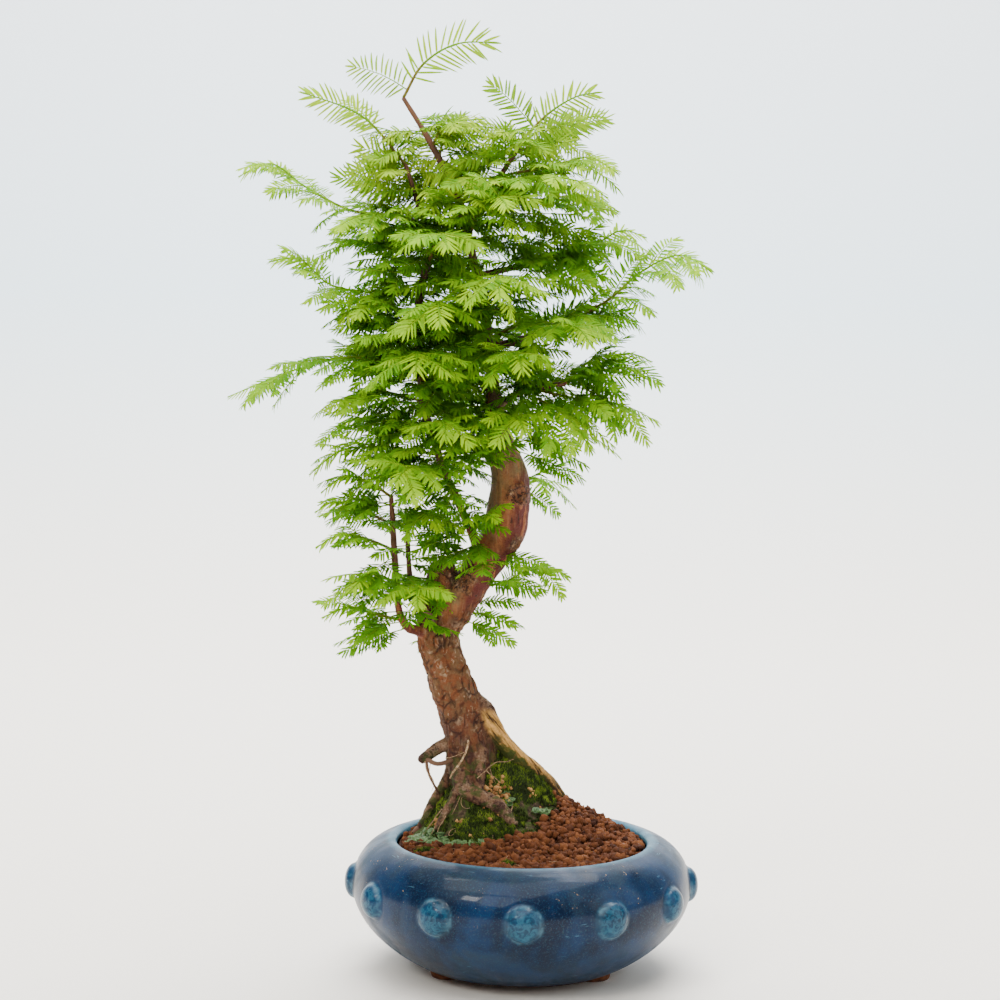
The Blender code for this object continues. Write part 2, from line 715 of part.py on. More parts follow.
def mound_top(x, y):
    spread = MOUND_SPREAD
    mound = MOUND_RISE * hill(
        x, y, MOUND_PEAK, spread["left"], spread["right"], spread["front"], spread["back"]
    )
    sx, sy = BANK_SPREAD
    bank = BANK_RISE * hill(x, y, BANK_PEAK, sx, sx, sy, sy)
    return np.maximum(MOUND_BASE + mound + bank, soil_top(x, y) - 1.0)


def circle(sides):
    angle = np.arange(sides) * 2 * math.pi / sides
    return np.cos(angle), np.sin(angle)


def flat_ring(radius, height, sides):
    c, s = circle(sides)
    return np.stack([radius * c, radius * s, np.full(sides, float(height))], axis=1)


def soil_skin(name, lift):
    """The filling: it follows the pot's inside, and its top is a low hill with granular relief."""
    c, s = circle(POT_SIDES)
    floor = FLOOR_TOP + GAP
    step = floor + MESH_THICK + 2 * CLIP_RADIUS + 0.8
    rings = [
        flat_ring(MESH_RADIUS + 0.6, step, POT_SIDES),
        flat_ring(MESH_RADIUS + 0.6, floor, POT_SIDES),
        flat_ring(belly_radius(FLOOR_TOP, POT_WALL) - 1.5, floor, POT_SIDES),
    ]
    for height in INSIDE_HEIGHTS[1:]:
        rings.append(flat_ring(belly_radius(height, POT_WALL) - 0.6, height - 0.3, POT_SIDES))
    rings.append(flat_ring(OPENING_RADIUS - 0.4, 74.2, POT_SIDES))
    for radius in (OPENING_RADIUS - 0.4, 64.0, 50.0, 35.0, 17.0):
        x, y = radius * c, radius * s
        bump = GRAIN * grain(x, y, 1)
        if radius > 70:
            bump = -abs(bump) * 0.5
        rings.append(np.stack([x, y, soil_top(x, y) + bump + lift], axis=1))
    top = (0.0, 0.0, float(soil_top(0.0, 0.0)) + lift)
    return ring_skin(name, rings, (0.0, 0.0, step), top)


def make_soil(collection, cutters):
    mesh = soil_skin("soil", 0.0)
    soil = add_object("soil", mesh, collection, finish("akadama soil", SOIL_COLOUR, 0.95))
    cut(soil, cutters)
    settle(soil)


def ball_ring(share, sides, extra=0.0):
    c, s = circle(sides)
    x = BALL_CENTRE[0] + (BALL_HALF[0] * share + extra) * c
    y = BALL_CENTRE[1] + (BALL_HALF[1] * share + extra) * s
    return x, y


def ball_skin(name, extra, lift, top=None):
    """The old root ball: an oval plug whose top is the mound, or a flat lid for its hole."""
    sides = 24
    rings = []
    for share, height in ((0.6, BALL_BOTTOM), (0.96, BALL_BOTTOM + 6), (1.0, 64.0)):
        x, y = ball_ring(share, sides, extra)
        rings.append(np.stack([x, y, np.full(sides, height - extra)], axis=1))
    x, y = ball_ring(1.0, sides, extra)
    if top is not None:
        rings.append(np.stack([x, y, np.full(sides, top)], axis=1))
        end = (*BALL_CENTRE, top)
    else:
        for share in (1.0, 0.83, 0.66, 0.49, 0.3):
            x, y = ball_ring(share, sides)
            bump = 1.2 * grain(x, y, 2) if share < 1.0 else 0.0
            rings.append(np.stack([x, y, mound_top(x, y) + bump + lift], axis=1))
        rings[3][:, :2] = np.stack(ball_ring(1.0, sides, extra), axis=1)
        end = (*BALL_CENTRE, float(mound_top(*BALL_CENTRE)) + lift)
    return ring_skin(name, rings, (*BALL_CENTRE, BALL_BOTTOM - extra), end)


def make_root_mound(collection, cutters):
    mesh = ball_skin("root mound", 0.0, 0.0)
    mound = add_object("root_mound", mesh, collection, finish("old root ball", MOUND_COLOUR, 0.95))
    cut(mound, cutters)
    settle(mound)


# Wood


def smooth_rows(rows, pitch):
    """A smooth curve through the rows, with a row about every pitch: each stretch between two rows
    is a cubic whose ends keep the direction between their neighbours."""
    rows = np.asarray(rows, float)
    padded = np.vstack([2 * rows[0] - rows[1], rows, 2 * rows[-1] - rows[-2]])
    out = [rows[:1]]
    for i in range(1, len(padded) - 2):
        a, b, c, d = padded[i - 1 : i + 3]
        count = max(1, int(round(np.linalg.norm((c - b)[:3]) / pitch)))
        t = (np.arange(1, count + 1) / count)[:, None]
        bend = 2 * b + (c - a) * t + (2 * a - 5 * b + 4 * c - d) * t**2 + (3 * b - a - 3 * c + d) * t**3
        out.append(bend / 2)
    return np.vstack(out)


def stem_at(stem, height):
    """The point of a stem's middle line at a height, with its radius."""
    rows = STEM_ROWS[stem]
    return np.array([np.interp(height, rows[:, 2], rows[:, column]) for column in range(4)])


def flute(item, rows):
    """Shallow flutes that run up the old bole and widen into its root flare."""
    mesh = item.data
    points = np.empty(len(mesh.vertices) * 3)
    mesh.vertices.foreach_get("co", points)
    points = points.reshape(-1, 3) / MM
    middle = np.stack([np.interp(points[:, 2], rows[:, 2], rows[:, i]) for i in (0, 1)], axis=1)
    out = points[:, :2] - middle
    angle = np.arctan2(out[:, 1], out[:, 0])
    wave = np.sin(3 * angle + points[:, 2] / 21) + 0.6 * np.sin(5 * angle - points[:, 2] / 13)
    strength = np.interp(points[:, 2], (90, 130, 200, 250), (0.1, 0.07, 0.05, 0.08))
    points[:, :2] = middle + out * (1 + strength * wave)[:, None]
    mesh.vertices.foreach_set("co", (points * MM).ravel())


def make_wood(collection):
    pieces = []
    for name, rows in {**STEM_ROWS, **ROOT_ROWS}.items():
        piece = tube(name, rows, collection, TUBE_SIDES.get(name, 0))
        if name in FLUTED:
            flute(piece, rows)
        pieces.append(piece)
    wood = united("wood", pieces, collection, finish("bark", WOOD_COLOUR, 0.85))
    settle(wood)
    return wood


def lengthened(rows, distance):
    """The rows with both ends moved outwards by a distance."""
    longer = rows.copy()
    longer[0, :3] += distance * unit(rows[0, :3] - rows[1, :3])
    longer[-1, :3] += distance * unit(rows[-1, :3] - rows[-2, :3])
    return longer


def root_cutters(cutters):
    """A slightly thicker and longer copy of each root and of the bole, which leaves its hole."""
    found = []
    for name, rows in {"bole": STEM_ROWS["bole"], **ROOT_ROWS}.items():
        path = lengthened(rows, 2 * GAP)
        hole = tube(name + " hole", path, cutters, TUBE_SIDES.get(name, 0), extra=GAP + 0.15)
        if name in FLUTED:
            flute(hole, rows)
        found.append(as_cutter(hole))
    return found


# Moss


def cushion(name, centre, half, turn, thick, surface, sides=10):
    """A moss cushion: an oval patch over a surface, thickest in its middle, with a bumpy top."""
    c, s = circle(sides)
    cos_t, sin_t = math.cos(math.radians(turn)), math.sin(math.radians(turn))

    def ring(share, lift):
        wobble = 1 + 0.1 * np.sin(3 * np.arange(sides) * 2 * math.pi / sides + centre[0])
        u, v = half[0] * share * c * wobble, half[1] * share * s * wobble
        x = centre[0] + u * cos_t - v * sin_t
        y = centre[1] + u * sin_t + v * cos_t
        return np.stack([x, y, surface(x, y) + lift], axis=1)

    rings = [ring(0.96, -4.0), ring(1.0, 1.1)]
    for share, lift in ((0.8, 0.8), (0.45, 1.0)):
        rim = ring(share, 0.0)
        rim[:, 2] += thick * (lift + 0.25 * grain(rim[:, 0], rim[:, 1], 3))
        rings.append(rim)
    middle = float(surface(np.array(centre[0]), np.array(centre[1])))
    return ring_skin(name, rings, (*centre, middle - 4.0), (*centre, middle + thick))


MOSSES = (
    # name, middle, half sizes, turn, thickness, what it grows on
    ("moss_cushion", (-30.0, -15.0), (17.0, 10.0), 8.0, 3.0, "mound"),
    ("moss_bank", (1.0, 22.0), (24.0, 8.5), 38.0, 2.6, "mound"),
    ("moss_edge", (-58.0, -31.0), (9.0, 6.0), -35.0, 2.6, "soil"),
    ("moss_tuft", (-9.0, -62.0), (5.0, 4.0), 0.0, 3.0, "soil"),
    ("liverwort", (-63.0, -3.0), (9.0, 7.0), 60.0, 1.8, "mound"),
)


def make_mosses(collection, beds, holes):
    surfaces = {"mound": mound_top, "soil": soil_top}
    moss = finish("moss", MOSS_COLOUR, 0.95)
    lobes = finish("liverwort", LIVERWORT_COLOUR, 0.6)
    for name, centre, half, turn, thick, bed in MOSSES:
        mesh = cushion(name, centre, half, turn, thick, surfaces[bed])
        item = add_object(name, mesh, collection, lobes if name == "liverwort" else moss)
        cut(item, beds + holes)
        settle(item)


# Sprays


def unit(vectors):
    return vectors / np.linalg.norm(vectors, axis=-1, keepdims=True)


def turned(vector, degrees):
    """The vector turned about the vertical, anticlockwise seen from above."""
    c, s = math.cos(math.radians(degrees)), math.sin(math.radians(degrees))
    x, y, z = vector
    return np.array([x * c - y * s, x * s + y * c, z])


def shoot_path(spray, turn, lift):
    """The shoot's middle line from the stem's axis to its tip, about every 2 mm."""
    base = stem_at(spray[1], spray[2])[:3]
    points = np.array(spray[3], float)
    share = np.arange(1, len(points) + 1) / len(points)
    moved = [base + turned(point - base, turn) + (0, 0, lift * s) for point, s in zip(points, share)]
    return smooth_rows(np.vstack([[base], moved]), 2.0)


def lengths_along(path):
    steps = np.linalg.norm(np.diff(path, axis=0), axis=1)
    return np.concatenate([[0.0], np.cumsum(steps)])


def point_at(path, distance):
    along = lengths_along(path)
    return np.stack([np.interp(distance, along, path[:, i]) for i in range(3)], axis=-1)


def fronds_of(spray, path):
    """Each frond's rib as five points, with the length of its needles: the end frond lies on the
    last stretch of the shoot, and a side frond leaves it turned, lifted, and droops to its tip."""
    last, needle = spray[4], spray[5]
    total = lengths_along(path)[-1]
    end = total - END_SHARE * needle
    share = np.linspace(0.0, 1.0, 9)
    ribs = [(point_at(path, end - last + last * share), needle)]
    for spot, turn, lift, length in spray[7]:
        root = point_at(path, spot * total + SIDE_START)
        ahead = unit(point_at(path, spot * total + SIDE_START + 8.0) - root)
        flat = unit(np.array([ahead[0], ahead[1], 0.0]))
        way = turned(flat, turn) * math.cos(math.radians(lift))
        way[2] = math.sin(math.radians(lift)) + 0.5 * ahead[2]
        way = unit(way)
        rib = root + np.outer(share * length, way)
        rib[:, 2] -= 0.22 * length * share**2
        ribs.append((rib, needle * 0.86))
    return ribs


def frond_frame(rib, facing):
    """Unit vectors along a rib, across it and out of the frond's face."""
    along = unit(np.gradient(rib, axis=0))
    face = np.array([0.0, -facing - 0.15, 1.0 - facing])
    face = unit(face - (along @ face)[:, None] * along)
    return along, np.cross(along, face), face


def needle_tips(rib, facing, needle, share, side):
    """Foot and tip of a needle at each share of the rib. A needle is longest past the middle, leans
    further forward towards the frond's tip, and its end droops from the frond's face."""
    along, across, face = frond_frame(rib, facing)
    spots = np.linspace(0.0, 1.0, len(rib))

    def at(values):
        return np.stack([np.interp(share, spots, values[:, i]) for i in range(3)], axis=-1)

    foot = at(rib)
    length = needle * (0.62 + 0.38 * np.sin(math.pi * np.clip(0.1 + 0.85 * share, 0, 1)))
    lean = np.radians(np.interp(share, (0.0, 0.6, 1.0), (22.0, 34.0, 62.0)))
    reach = at(across) * (side * np.cos(lean) * length)[:, None] + at(along) * (np.sin(lean) * length)[:, None]
    return foot, foot + reach - at(face) * (DROOP * length)[:, None]


def frond_sheet(rib, facing, needle):
    """The frond as one sheet cut to the rib: teeth on both sides, set half a step apart."""
    length = lengths_along(rib)[-1]
    count = max(3, int(round((1.0 - FIRST_NOTCH) * length / TOOTH_PITCH)))
    step = (0.93 - FIRST_NOTCH) / count
    notch = FIRST_NOTCH + step * np.arange(count + 1)
    along, across, _ = frond_frame(rib, facing)
    spots = np.linspace(0.0, 1.0, len(rib))

    def beside(share, side, half=RIB):
        centre = np.stack([np.interp(share, spots, rib[:, i]) for i in range(3)], axis=-1)
        out = np.stack([np.interp(share, spots, across[:, i]) for i in range(3)], axis=-1)
        return centre + side * half * out

    left = beside(notch, 1.0)
    right = beside(np.minimum(notch + step / 2, 0.97), -1.0)
    left_tips = needle_tips(rib, facing, needle, notch[:-1] + step / 2, 1.0)[1]
    right_tips = needle_tips(rib, facing, needle, np.minimum(notch[:-1] + step, 0.97), -1.0)[1]
    root = beside(np.array([0.0]), 1.0, ROOT_HALF)
    root_right = beside(np.array([0.0]), -1.0, ROOT_HALF)
    end = rib[-1:] + along[-1:] * 0.3 * needle
    points = np.vstack([root, root_right, left, right, left_tips, right_tips, end])
    l0, r0 = 2, 3 + count
    lt, rt = r0 + count + 1, r0 + 2 * count + 1
    faces = [(0, 1, l0), (1, r0, l0)]
    for i in range(count):
        faces.append((l0 + i, lt + i, l0 + i + 1))
        faces.append((r0 + i, r0 + i + 1, rt + i))
        faces.append((l0 + i, r0 + i, l0 + i + 1))
        faces.append((r0 + i, r0 + i + 1, l0 + i + 1))
    faces.append((l0 + count, r0 + count, rt + count))
    return points, faces


def frond_piece(name, rib, facing, needle, collection):
    points, faces = frond_sheet(rib, facing, needle)
    mesh = mesh_from(name, points, faces)
    item = add_object(name, mesh, collection)
    blade = item.modifiers.new("blade", "SOLIDIFY")
    blade.thickness = BLADE * MM
    blade.offset = 0.0
    solid = add_object(name + " solid", baked(item), collection)
    bpy.data.objects.remove(item, do_unlink=True)
    return solid


def samples(path, ribs, facing, start):
    """Points over a spray, a few millimetres apart: along its shoot and out along its needles."""
    found = [path[lengths_along(path) > start]]
    for rib, needle in ribs:
        share = np.linspace(0.08, 0.95, max(5, int(lengths_along(rib)[-1] / 4.0)))
        found.append(point_at(rib, share * lengths_along(rib)[-1]))
        for side in (1.0, -1.0):
            foot, tip = needle_tips(rib, facing, needle, share, side)
            for part in (0.35, 0.7, 1.0):
                found.append(foot + (tip - foot) * part)
    return np.vstack(found)


def clearance(points, others):
    if not len(others):
        return 1e9
    gaps = points[:, None, :] - others[None, :, :3]
    return float((np.sqrt((gaps**2).sum(axis=2)) - others[None, :, 3]).min())


def wood_samples():
    rows = [smooth_rows(rows, 3.0) for rows in STEM_ROWS.values()]
    stems = np.vstack(rows)
    stems[:, 3] -= 1.2
    return stems


def place_sprays():
    """Each spray in its turn keeps its own line if that is clear of the wood and of the sprays before
    it, and else is turned about its foot and raised or lowered by the least that clears it."""
    taken = wood_samples()
    placed = []
    for spray in SPRAYS:
        start = stem_at(spray[1], spray[2])[3] + 7.0
        best = None
        for lift in LIFTS:
            for turn in TURNS:
                path = shoot_path(spray, turn, lift)
                ribs = fronds_of(spray, path)
                points = samples(path, ribs, spray[6], start)
                room = clearance(points, taken)
                if best is None or room > best[0]:
                    best = (room, path, ribs, points, turn, lift)
                if room > NEEDLE_CLEAR:
                    break
            if best[0] > NEEDLE_CLEAR:
                break
        print(f"{spray[0]}: turned {best[4]}, raised {best[5]}, clear by {best[0]:.1f} mm")
        placed.append((spray, best[1], best[2]))
        taken = np.vstack([taken, np.column_stack([best[3], np.zeros(len(best[3]))])])
    return placed


def outside(tree, point):
    """Whether a point is outside a closed mesh: it then has an even number of faces on one side."""
    way = Vector((0.371, 0.557, 0.743))
    hits = 0
    spot = Vector(point)
    while True:
        hit = tree.ray_cast(spot, way)[0]
        if hit is None:
            return hits % 2 == 0
        hits += 1
        spot = hit + way * 1e-6


def shoot_start(path, tree):
    """The distance along a shoot at which its end face stands just clear of the wood."""
    distance = 0.0
    while True:
        distance += 0.15
        middle = point_at(path, distance)
        way = unit(point_at(path, distance + 1.0) - middle)
        side = unit(np.cross(way, (0.3, 0.5, 1.0)))
        over = np.cross(way, side)
        rim = [middle + SHOOT_ROOT * (math.cos(a) * side + math.sin(a) * over) for a in np.arange(0, 6.28, 0.79)]
        spots = [spot * MM for spot in [middle] + rim]
        if all(outside(tree, spot) and tree.find_nearest(Vector(spot))[3] > 0.3 * MM for spot in spots):
            return distance


def make_sprays(collection, wood):
    work = bmesh.new()
    work.from_mesh(wood.data)
    bmesh.ops.triangulate(work, faces=work.faces)
    tree = BVHTree.FromBMesh(work)
    green = finish("needles", NEEDLE_COLOUR, 0.5)
    for spray, path, ribs in place_sprays():
        total = lengths_along(path)[-1]
        start = shoot_start(path, tree)
        reach = total - END_SHARE * spray[5] - spray[4] + END_LAP
        roots = [side[0] * total + SIDE_START for side in spray[7]]
        stops = [start] + sorted(spot for spot in roots if start + 4.0 < spot < reach - 4.0) + [reach]
        for low, high in list(zip(stops, stops[1:])):
            count = int((high - low) / LONG_STEP)
            stops += [low + (high - low) * (i + 1) / (count + 1) for i in range(count)]
        stops.sort()
        rows = np.column_stack([point_at(path, stops), np.linspace(SHOOT_ROOT, SHOOT_TIP, len(stops))])
        pieces = [tube(spray[0] + " shoot", rows, collection, 0)]
        for number, (rib, needle) in enumerate(ribs):
            pieces.append(frond_piece(f"{spray[0]} frond {number}", rib, spray[6], needle, collection))
        united("spray_" + spray[0], pieces, collection, green)
    work.free()


STEM_ROWS = {name: smooth_rows(rows, 12.0 if name in TUBE_SIDES else 25.0) for name, rows in STEMS.items()}
ROOT_ROWS = {name: smooth_rows(rows, 16.0) for name, rows in ROOTS.items()}


def main():
    clear_scene()
    tree = new_collection(NAME)
    cutters = new_collection("cutters")
    make_pot(tree)
    make_drain_mesh(tree, cutters)
    make_mesh_clip(tree)
    wood = make_wood(tree)
    holes = root_cutters(cutters)
    ball_hole = as_cutter(add_object("ball hole", ball_skin("ball hole", 0.4, 0.0, 140.0), cutters))
    make_soil(tree, [ball_hole] + holes)
    make_root_mound(tree, holes)
    beds = [
        as_cutter(add_object("soil bed", soil_skin("soil bed", BED_LIFT), cutters)),
        as_cutter(add_object("mound bed", ball_skin("mound bed", 0.4, BED_LIFT), cutters)),
    ]
    make_mosses(tree, beds, holes)
    make_sprays(tree, wood)


main()
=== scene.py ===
"""Looks of a dawn redwood bonsai in its glazed drum pot.

Lengths in the tables are in millimetres, measured from the middle of the pot's foot plane:
x to the right, y to the back, z up. Shape.mesh turns them to the frame's metres."""

import math

import bpy
import numpy as np
from bpy.props import FloatProperty, FloatVectorProperty, IntProperty, PointerProperty
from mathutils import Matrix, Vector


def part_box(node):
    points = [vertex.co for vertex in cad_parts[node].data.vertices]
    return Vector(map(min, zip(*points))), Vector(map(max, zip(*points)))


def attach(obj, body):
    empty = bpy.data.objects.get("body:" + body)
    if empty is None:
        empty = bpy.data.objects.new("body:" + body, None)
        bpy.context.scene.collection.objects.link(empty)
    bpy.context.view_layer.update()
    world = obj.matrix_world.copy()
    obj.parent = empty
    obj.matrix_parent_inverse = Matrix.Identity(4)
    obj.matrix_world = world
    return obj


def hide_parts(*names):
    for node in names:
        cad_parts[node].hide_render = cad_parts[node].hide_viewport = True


bl_info = {
    "name": "Dawn redwood bonsai",
    "version": (1, 0, 0),
    "blender": (4, 5, 0),
    "location": "3D View > Sidebar > Bonsai",
    "description": "Dresses a dawn redwood bonsai, its soil and its studded drum pot",
    "category": "Add Mesh",
}

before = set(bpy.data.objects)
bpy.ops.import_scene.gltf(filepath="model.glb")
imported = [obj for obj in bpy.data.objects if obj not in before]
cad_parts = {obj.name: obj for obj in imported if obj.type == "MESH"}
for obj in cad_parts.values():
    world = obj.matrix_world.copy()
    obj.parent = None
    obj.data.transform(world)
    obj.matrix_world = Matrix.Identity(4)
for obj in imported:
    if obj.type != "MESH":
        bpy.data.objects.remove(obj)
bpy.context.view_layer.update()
POT_LOW, POT_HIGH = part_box("pot")
ORIGIN = np.array([(POT_LOW.x + POT_HIGH.x) / 2, (POT_LOW.y + POT_HIGH.y) / 2, 0.0])
MM = 0.001

# Pot
FOOT_HEIGHT = 3.6
BELLY_RADIUS = 104.4
BELLY_HEIGHT = 52.5
BELLY_CORE = 60.0
SHOULDER_RISE = 29.5
SHOULDER_BEND = 0.62
KEEL_DROP = 49.0
KEEL_BEND = 1.75
OPENING_RADIUS = 77.0
POT_WALL = 9.0
FLOOR_TOP = 12.0
DRAIN_RADIUS = 10.0
STUD_COUNT = 12
STUD_HEIGHT = 52.5
STUD_FIRST = math.radians(-89.7)
FOOT_RING = 51.0
FOOT_RADIUS = 11.0
FOOT_ANGLES = (90.0, 210.0, 330.0)
POT_COLUMNS = 456
FOOT_SIDES = 36

# Soil and root ball: a section's rows are radius and height, a spread's values left, right, front, back
SOIL_EDGE = 77.5
SOIL_RISE = 22.0
SOIL_FADE = 30.0
SOIL_PEAK = (6.0, 30.0)
SOIL_SECTION = ((20.0, 14.5), (66.0, 13.0), (84.0, 30.0), (94.0, 52.5), (90.0, 66.0), (76.2, 72.5))
SOIL_SPREAD = (38.0, 38.0, 34.0, 34.0)
BALL_CENTRE = (-23.0, 17.0)
BALL_HALF = (48.0, 42.0)
BALL_BOTTOM = 38.0
SOIL_SIDES = 108
BALL_SIDES = 144
MOSS_SIDES = 72
FILM_LEAVES = 19500
MOUND_BASE = 72.0
MOUND_RISE = 47.0
MOUND_PEAK = (-32.0, 25.0)
MOUND_SPREAD = (18.0, 26.0, 24.0, 24.0)
BANK_RISE = 32.0
BANK_PEAK = (2.0, 40.0)
BANK_SPREAD = (24.0, 24.0, 20.0, 20.0)

# Wood: rows of x, y, z and radius. Above STOUT a stem is fused to the trunk's skin
STEMS = {
    "bole": ((-32, 26, 90, 19.5), (-32, 25, 106, 17), (-32, 24, 121, 16.1), (-34, 23, 140, 15.4),
     (-40, 21, 159, 14.5), (-47, 19, 178, 13.2), (-52.5, 17, 197, 12.6), (-54, 16, 212, 12.4),
     (-54, 15, 226, 10.5), (-52, 14, 240, 8.6), (-51, 13, 248, 7.2)),
    "trunk": ((-51, 16, 208, 10.5), (-45, 15.5, 219, 11.6), (-37, 14.5, 232, 11.4), (-30, 13, 243, 11),
     (-22, 12, 255, 11.3), (-14, 10, 269, 12.9), (-11, 8, 286, 13.1), (-11, 6, 304, 11.3), (-15, 4, 318, 9.6),
     (-18, 3, 330, 7.8), (-20, 2, 345, 6), (-22, 1, 363, 4.4), (-24, 0, 381, 3.7), (-28, 0, 405, 3.2),
     (-34, 0, 433, 2.8), (-42, 0, 463, 2.4), (-51, 0, 486, 2.1), (-64, 0, 510, 1.7), (-78, 0, 532, 1.3)),
    "leader": ((-24, 11, 252, 3.8), (-29, 9, 258, 3.3), (-34, 2, 271, 2.8), (-39, -3, 282, 2.7),
     (-45, -7, 296, 2.5), (-51, -9, 308, 2.5), (-56, -10, 324, 2.4), (-63, -10, 345, 2.6),
     (-65, -8, 363, 2.4), (-67, -6, 387, 2.4), (-67, -4, 411, 2.4), (-63, -3, 430, 2.5), (-60, -3, 447, 2.1),
     (-67, -4, 464, 1.6), (-71, -5, 477, 1.4), (-76, -6, 492, 1.2)),
    "right_limb": ((-22, 1, 383, 3), (-1, -2, 389, 2.4), (17, -4, 396, 2.1), (30, -5, 402, 1.8)),
    "left_high": ((-62, -4, 455, 2), (-76, -4, 460, 1.6), (-88, -3, 462, 1.4)),
    "low_shoot": ((-52, 14, 203, 5), (-64, 9, 207, 3.6), (-73, 4, 211, 3), (-78, 2, 224, 2.4),
     (-80, 0, 249, 2.1), (-82, 0, 277, 1.7), (-83, 0, 292, 1.3)),
    "low_twig": ((-56, 16, 212, 2.8), (-66, 17, 220, 2.1), (-71, 18, 236, 1.8), (-73, 18, 258, 1.5),
     (-74, 18, 276, 1.3)),
    "low_front": ((-55, 10, 214, 2.6), (-61, -1, 221, 1.9), (-65, -7, 231, 1.5)),
    "top_right": ((-40, 0, 454, 2.2), (-26, -4, 475, 1.8), (-12, -6, 497, 1.5), (-4, -6, 510, 1.3)),
    "up_right": ((-32, 1, 426, 2.2), (-11, 6, 431, 1.8), (11, 9, 436, 1.4)),
    "mid_right": ((-20, 2, 346, 2.8), (-7, -4, 355, 2), (11, -8, 360, 1.7), (22, -9, 362, 1.5)),
    "back_low": ((-19, 4, 332, 2.6), (-22, 20, 338, 1.9), (-26, 36, 343, 1.4)),
    "back_high": ((-29, 0, 408, 2.4), (-33, 18, 416, 1.7), (-37, 32, 422, 1.4)),
}
ROOTS = {
    "dead_root": ((-34, 21, 165, 5), (-24.5, 19, 156, 6.6), (-16, 20, 141, 5.8), (-4, 26, 127.5, 5),
     (8, 34, 116.5, 4.6), (17.5, 41, 107, 4.2), (26, 48, 95, 3.6), (35, 55, 84, 2.9), (40, 58, 74, 2)),
    "centre_root": ((-37, 19, 126, 7), (-39, 11, 116, 5.8), (-34, 5, 108, 5.2), (-26, 2, 105, 5),
     (-18, 1, 102, 4.6), (-11, 0, 96, 4.1), (-3, -1, 85, 3.5), (2, -2, 76, 2.7)),
    "left_root": ((-40, 24, 120, 6), (-47, 22, 112, 3.8), (-52, 21, 104, 3.1), (-57, 20, 95, 2.9),
     (-61, 20, 85, 2.6), (-67, 20, 78, 2), (-72, 20, 72, 1.4)),
    "slant_root": ((-36, 22, 118, 4), (-42, 9, 105, 2.8), (-47, 3, 96, 2.6), (-52, 0, 84, 2.4),
     (-55, -1, 75, 2)),
    "stub_root": ((-38, 21, 138, 5.5), (-50, 18, 134, 4.2), (-58, 16, 129, 3.7), (-64, 14, 125, 2.8)),
    "pale_root": ((-33, 12, 145, 1.6), (-34, 5, 138, 1.3), (-37, 0, 131, 1.2), (-41, -3, 124, 1.2),
     (-45, -5, 117, 1.1)),
    "loop_root": ((-61, 14, 127, 1.5), (-53, 10, 124, 1.4), (-43, 14, 126, 1.5)),
    "hanging_root": ((-60, 13, 125, 1), (-58, 10, 117, 0.8), (-54, 11, 109, 0.8), (-52, 20, 103, 0.9)),
    "ridge_root": ((-26, 12, 134, 3.5), (-26, 7, 118, 2.6), (-26, 5, 106, 2.2)),
    "back_root": ((-30, 34, 120, 6), (-25, 46, 106, 4), (-20, 54, 91, 3.1), (-17, 59, 76, 2.2)),
    "side_root": ((-34, 28, 120, 5), (-48, 40, 100, 3.2), (-54, 46, 86, 2.4), (-57, 49, 75, 1.8)),
}
PITCHED = ("bole", "trunk", "leader")
DEAD = ("dead_root", "pale_root")
DEAD_TURN = (0, 2.434, 0.395)
DEAD_WAY = np.array([0.6, 0.25, -0.76])
STOUT = 2.3
STEM_SIDES = 36
TWIG_SIDES = 8
SHOOT_SIDES = 7

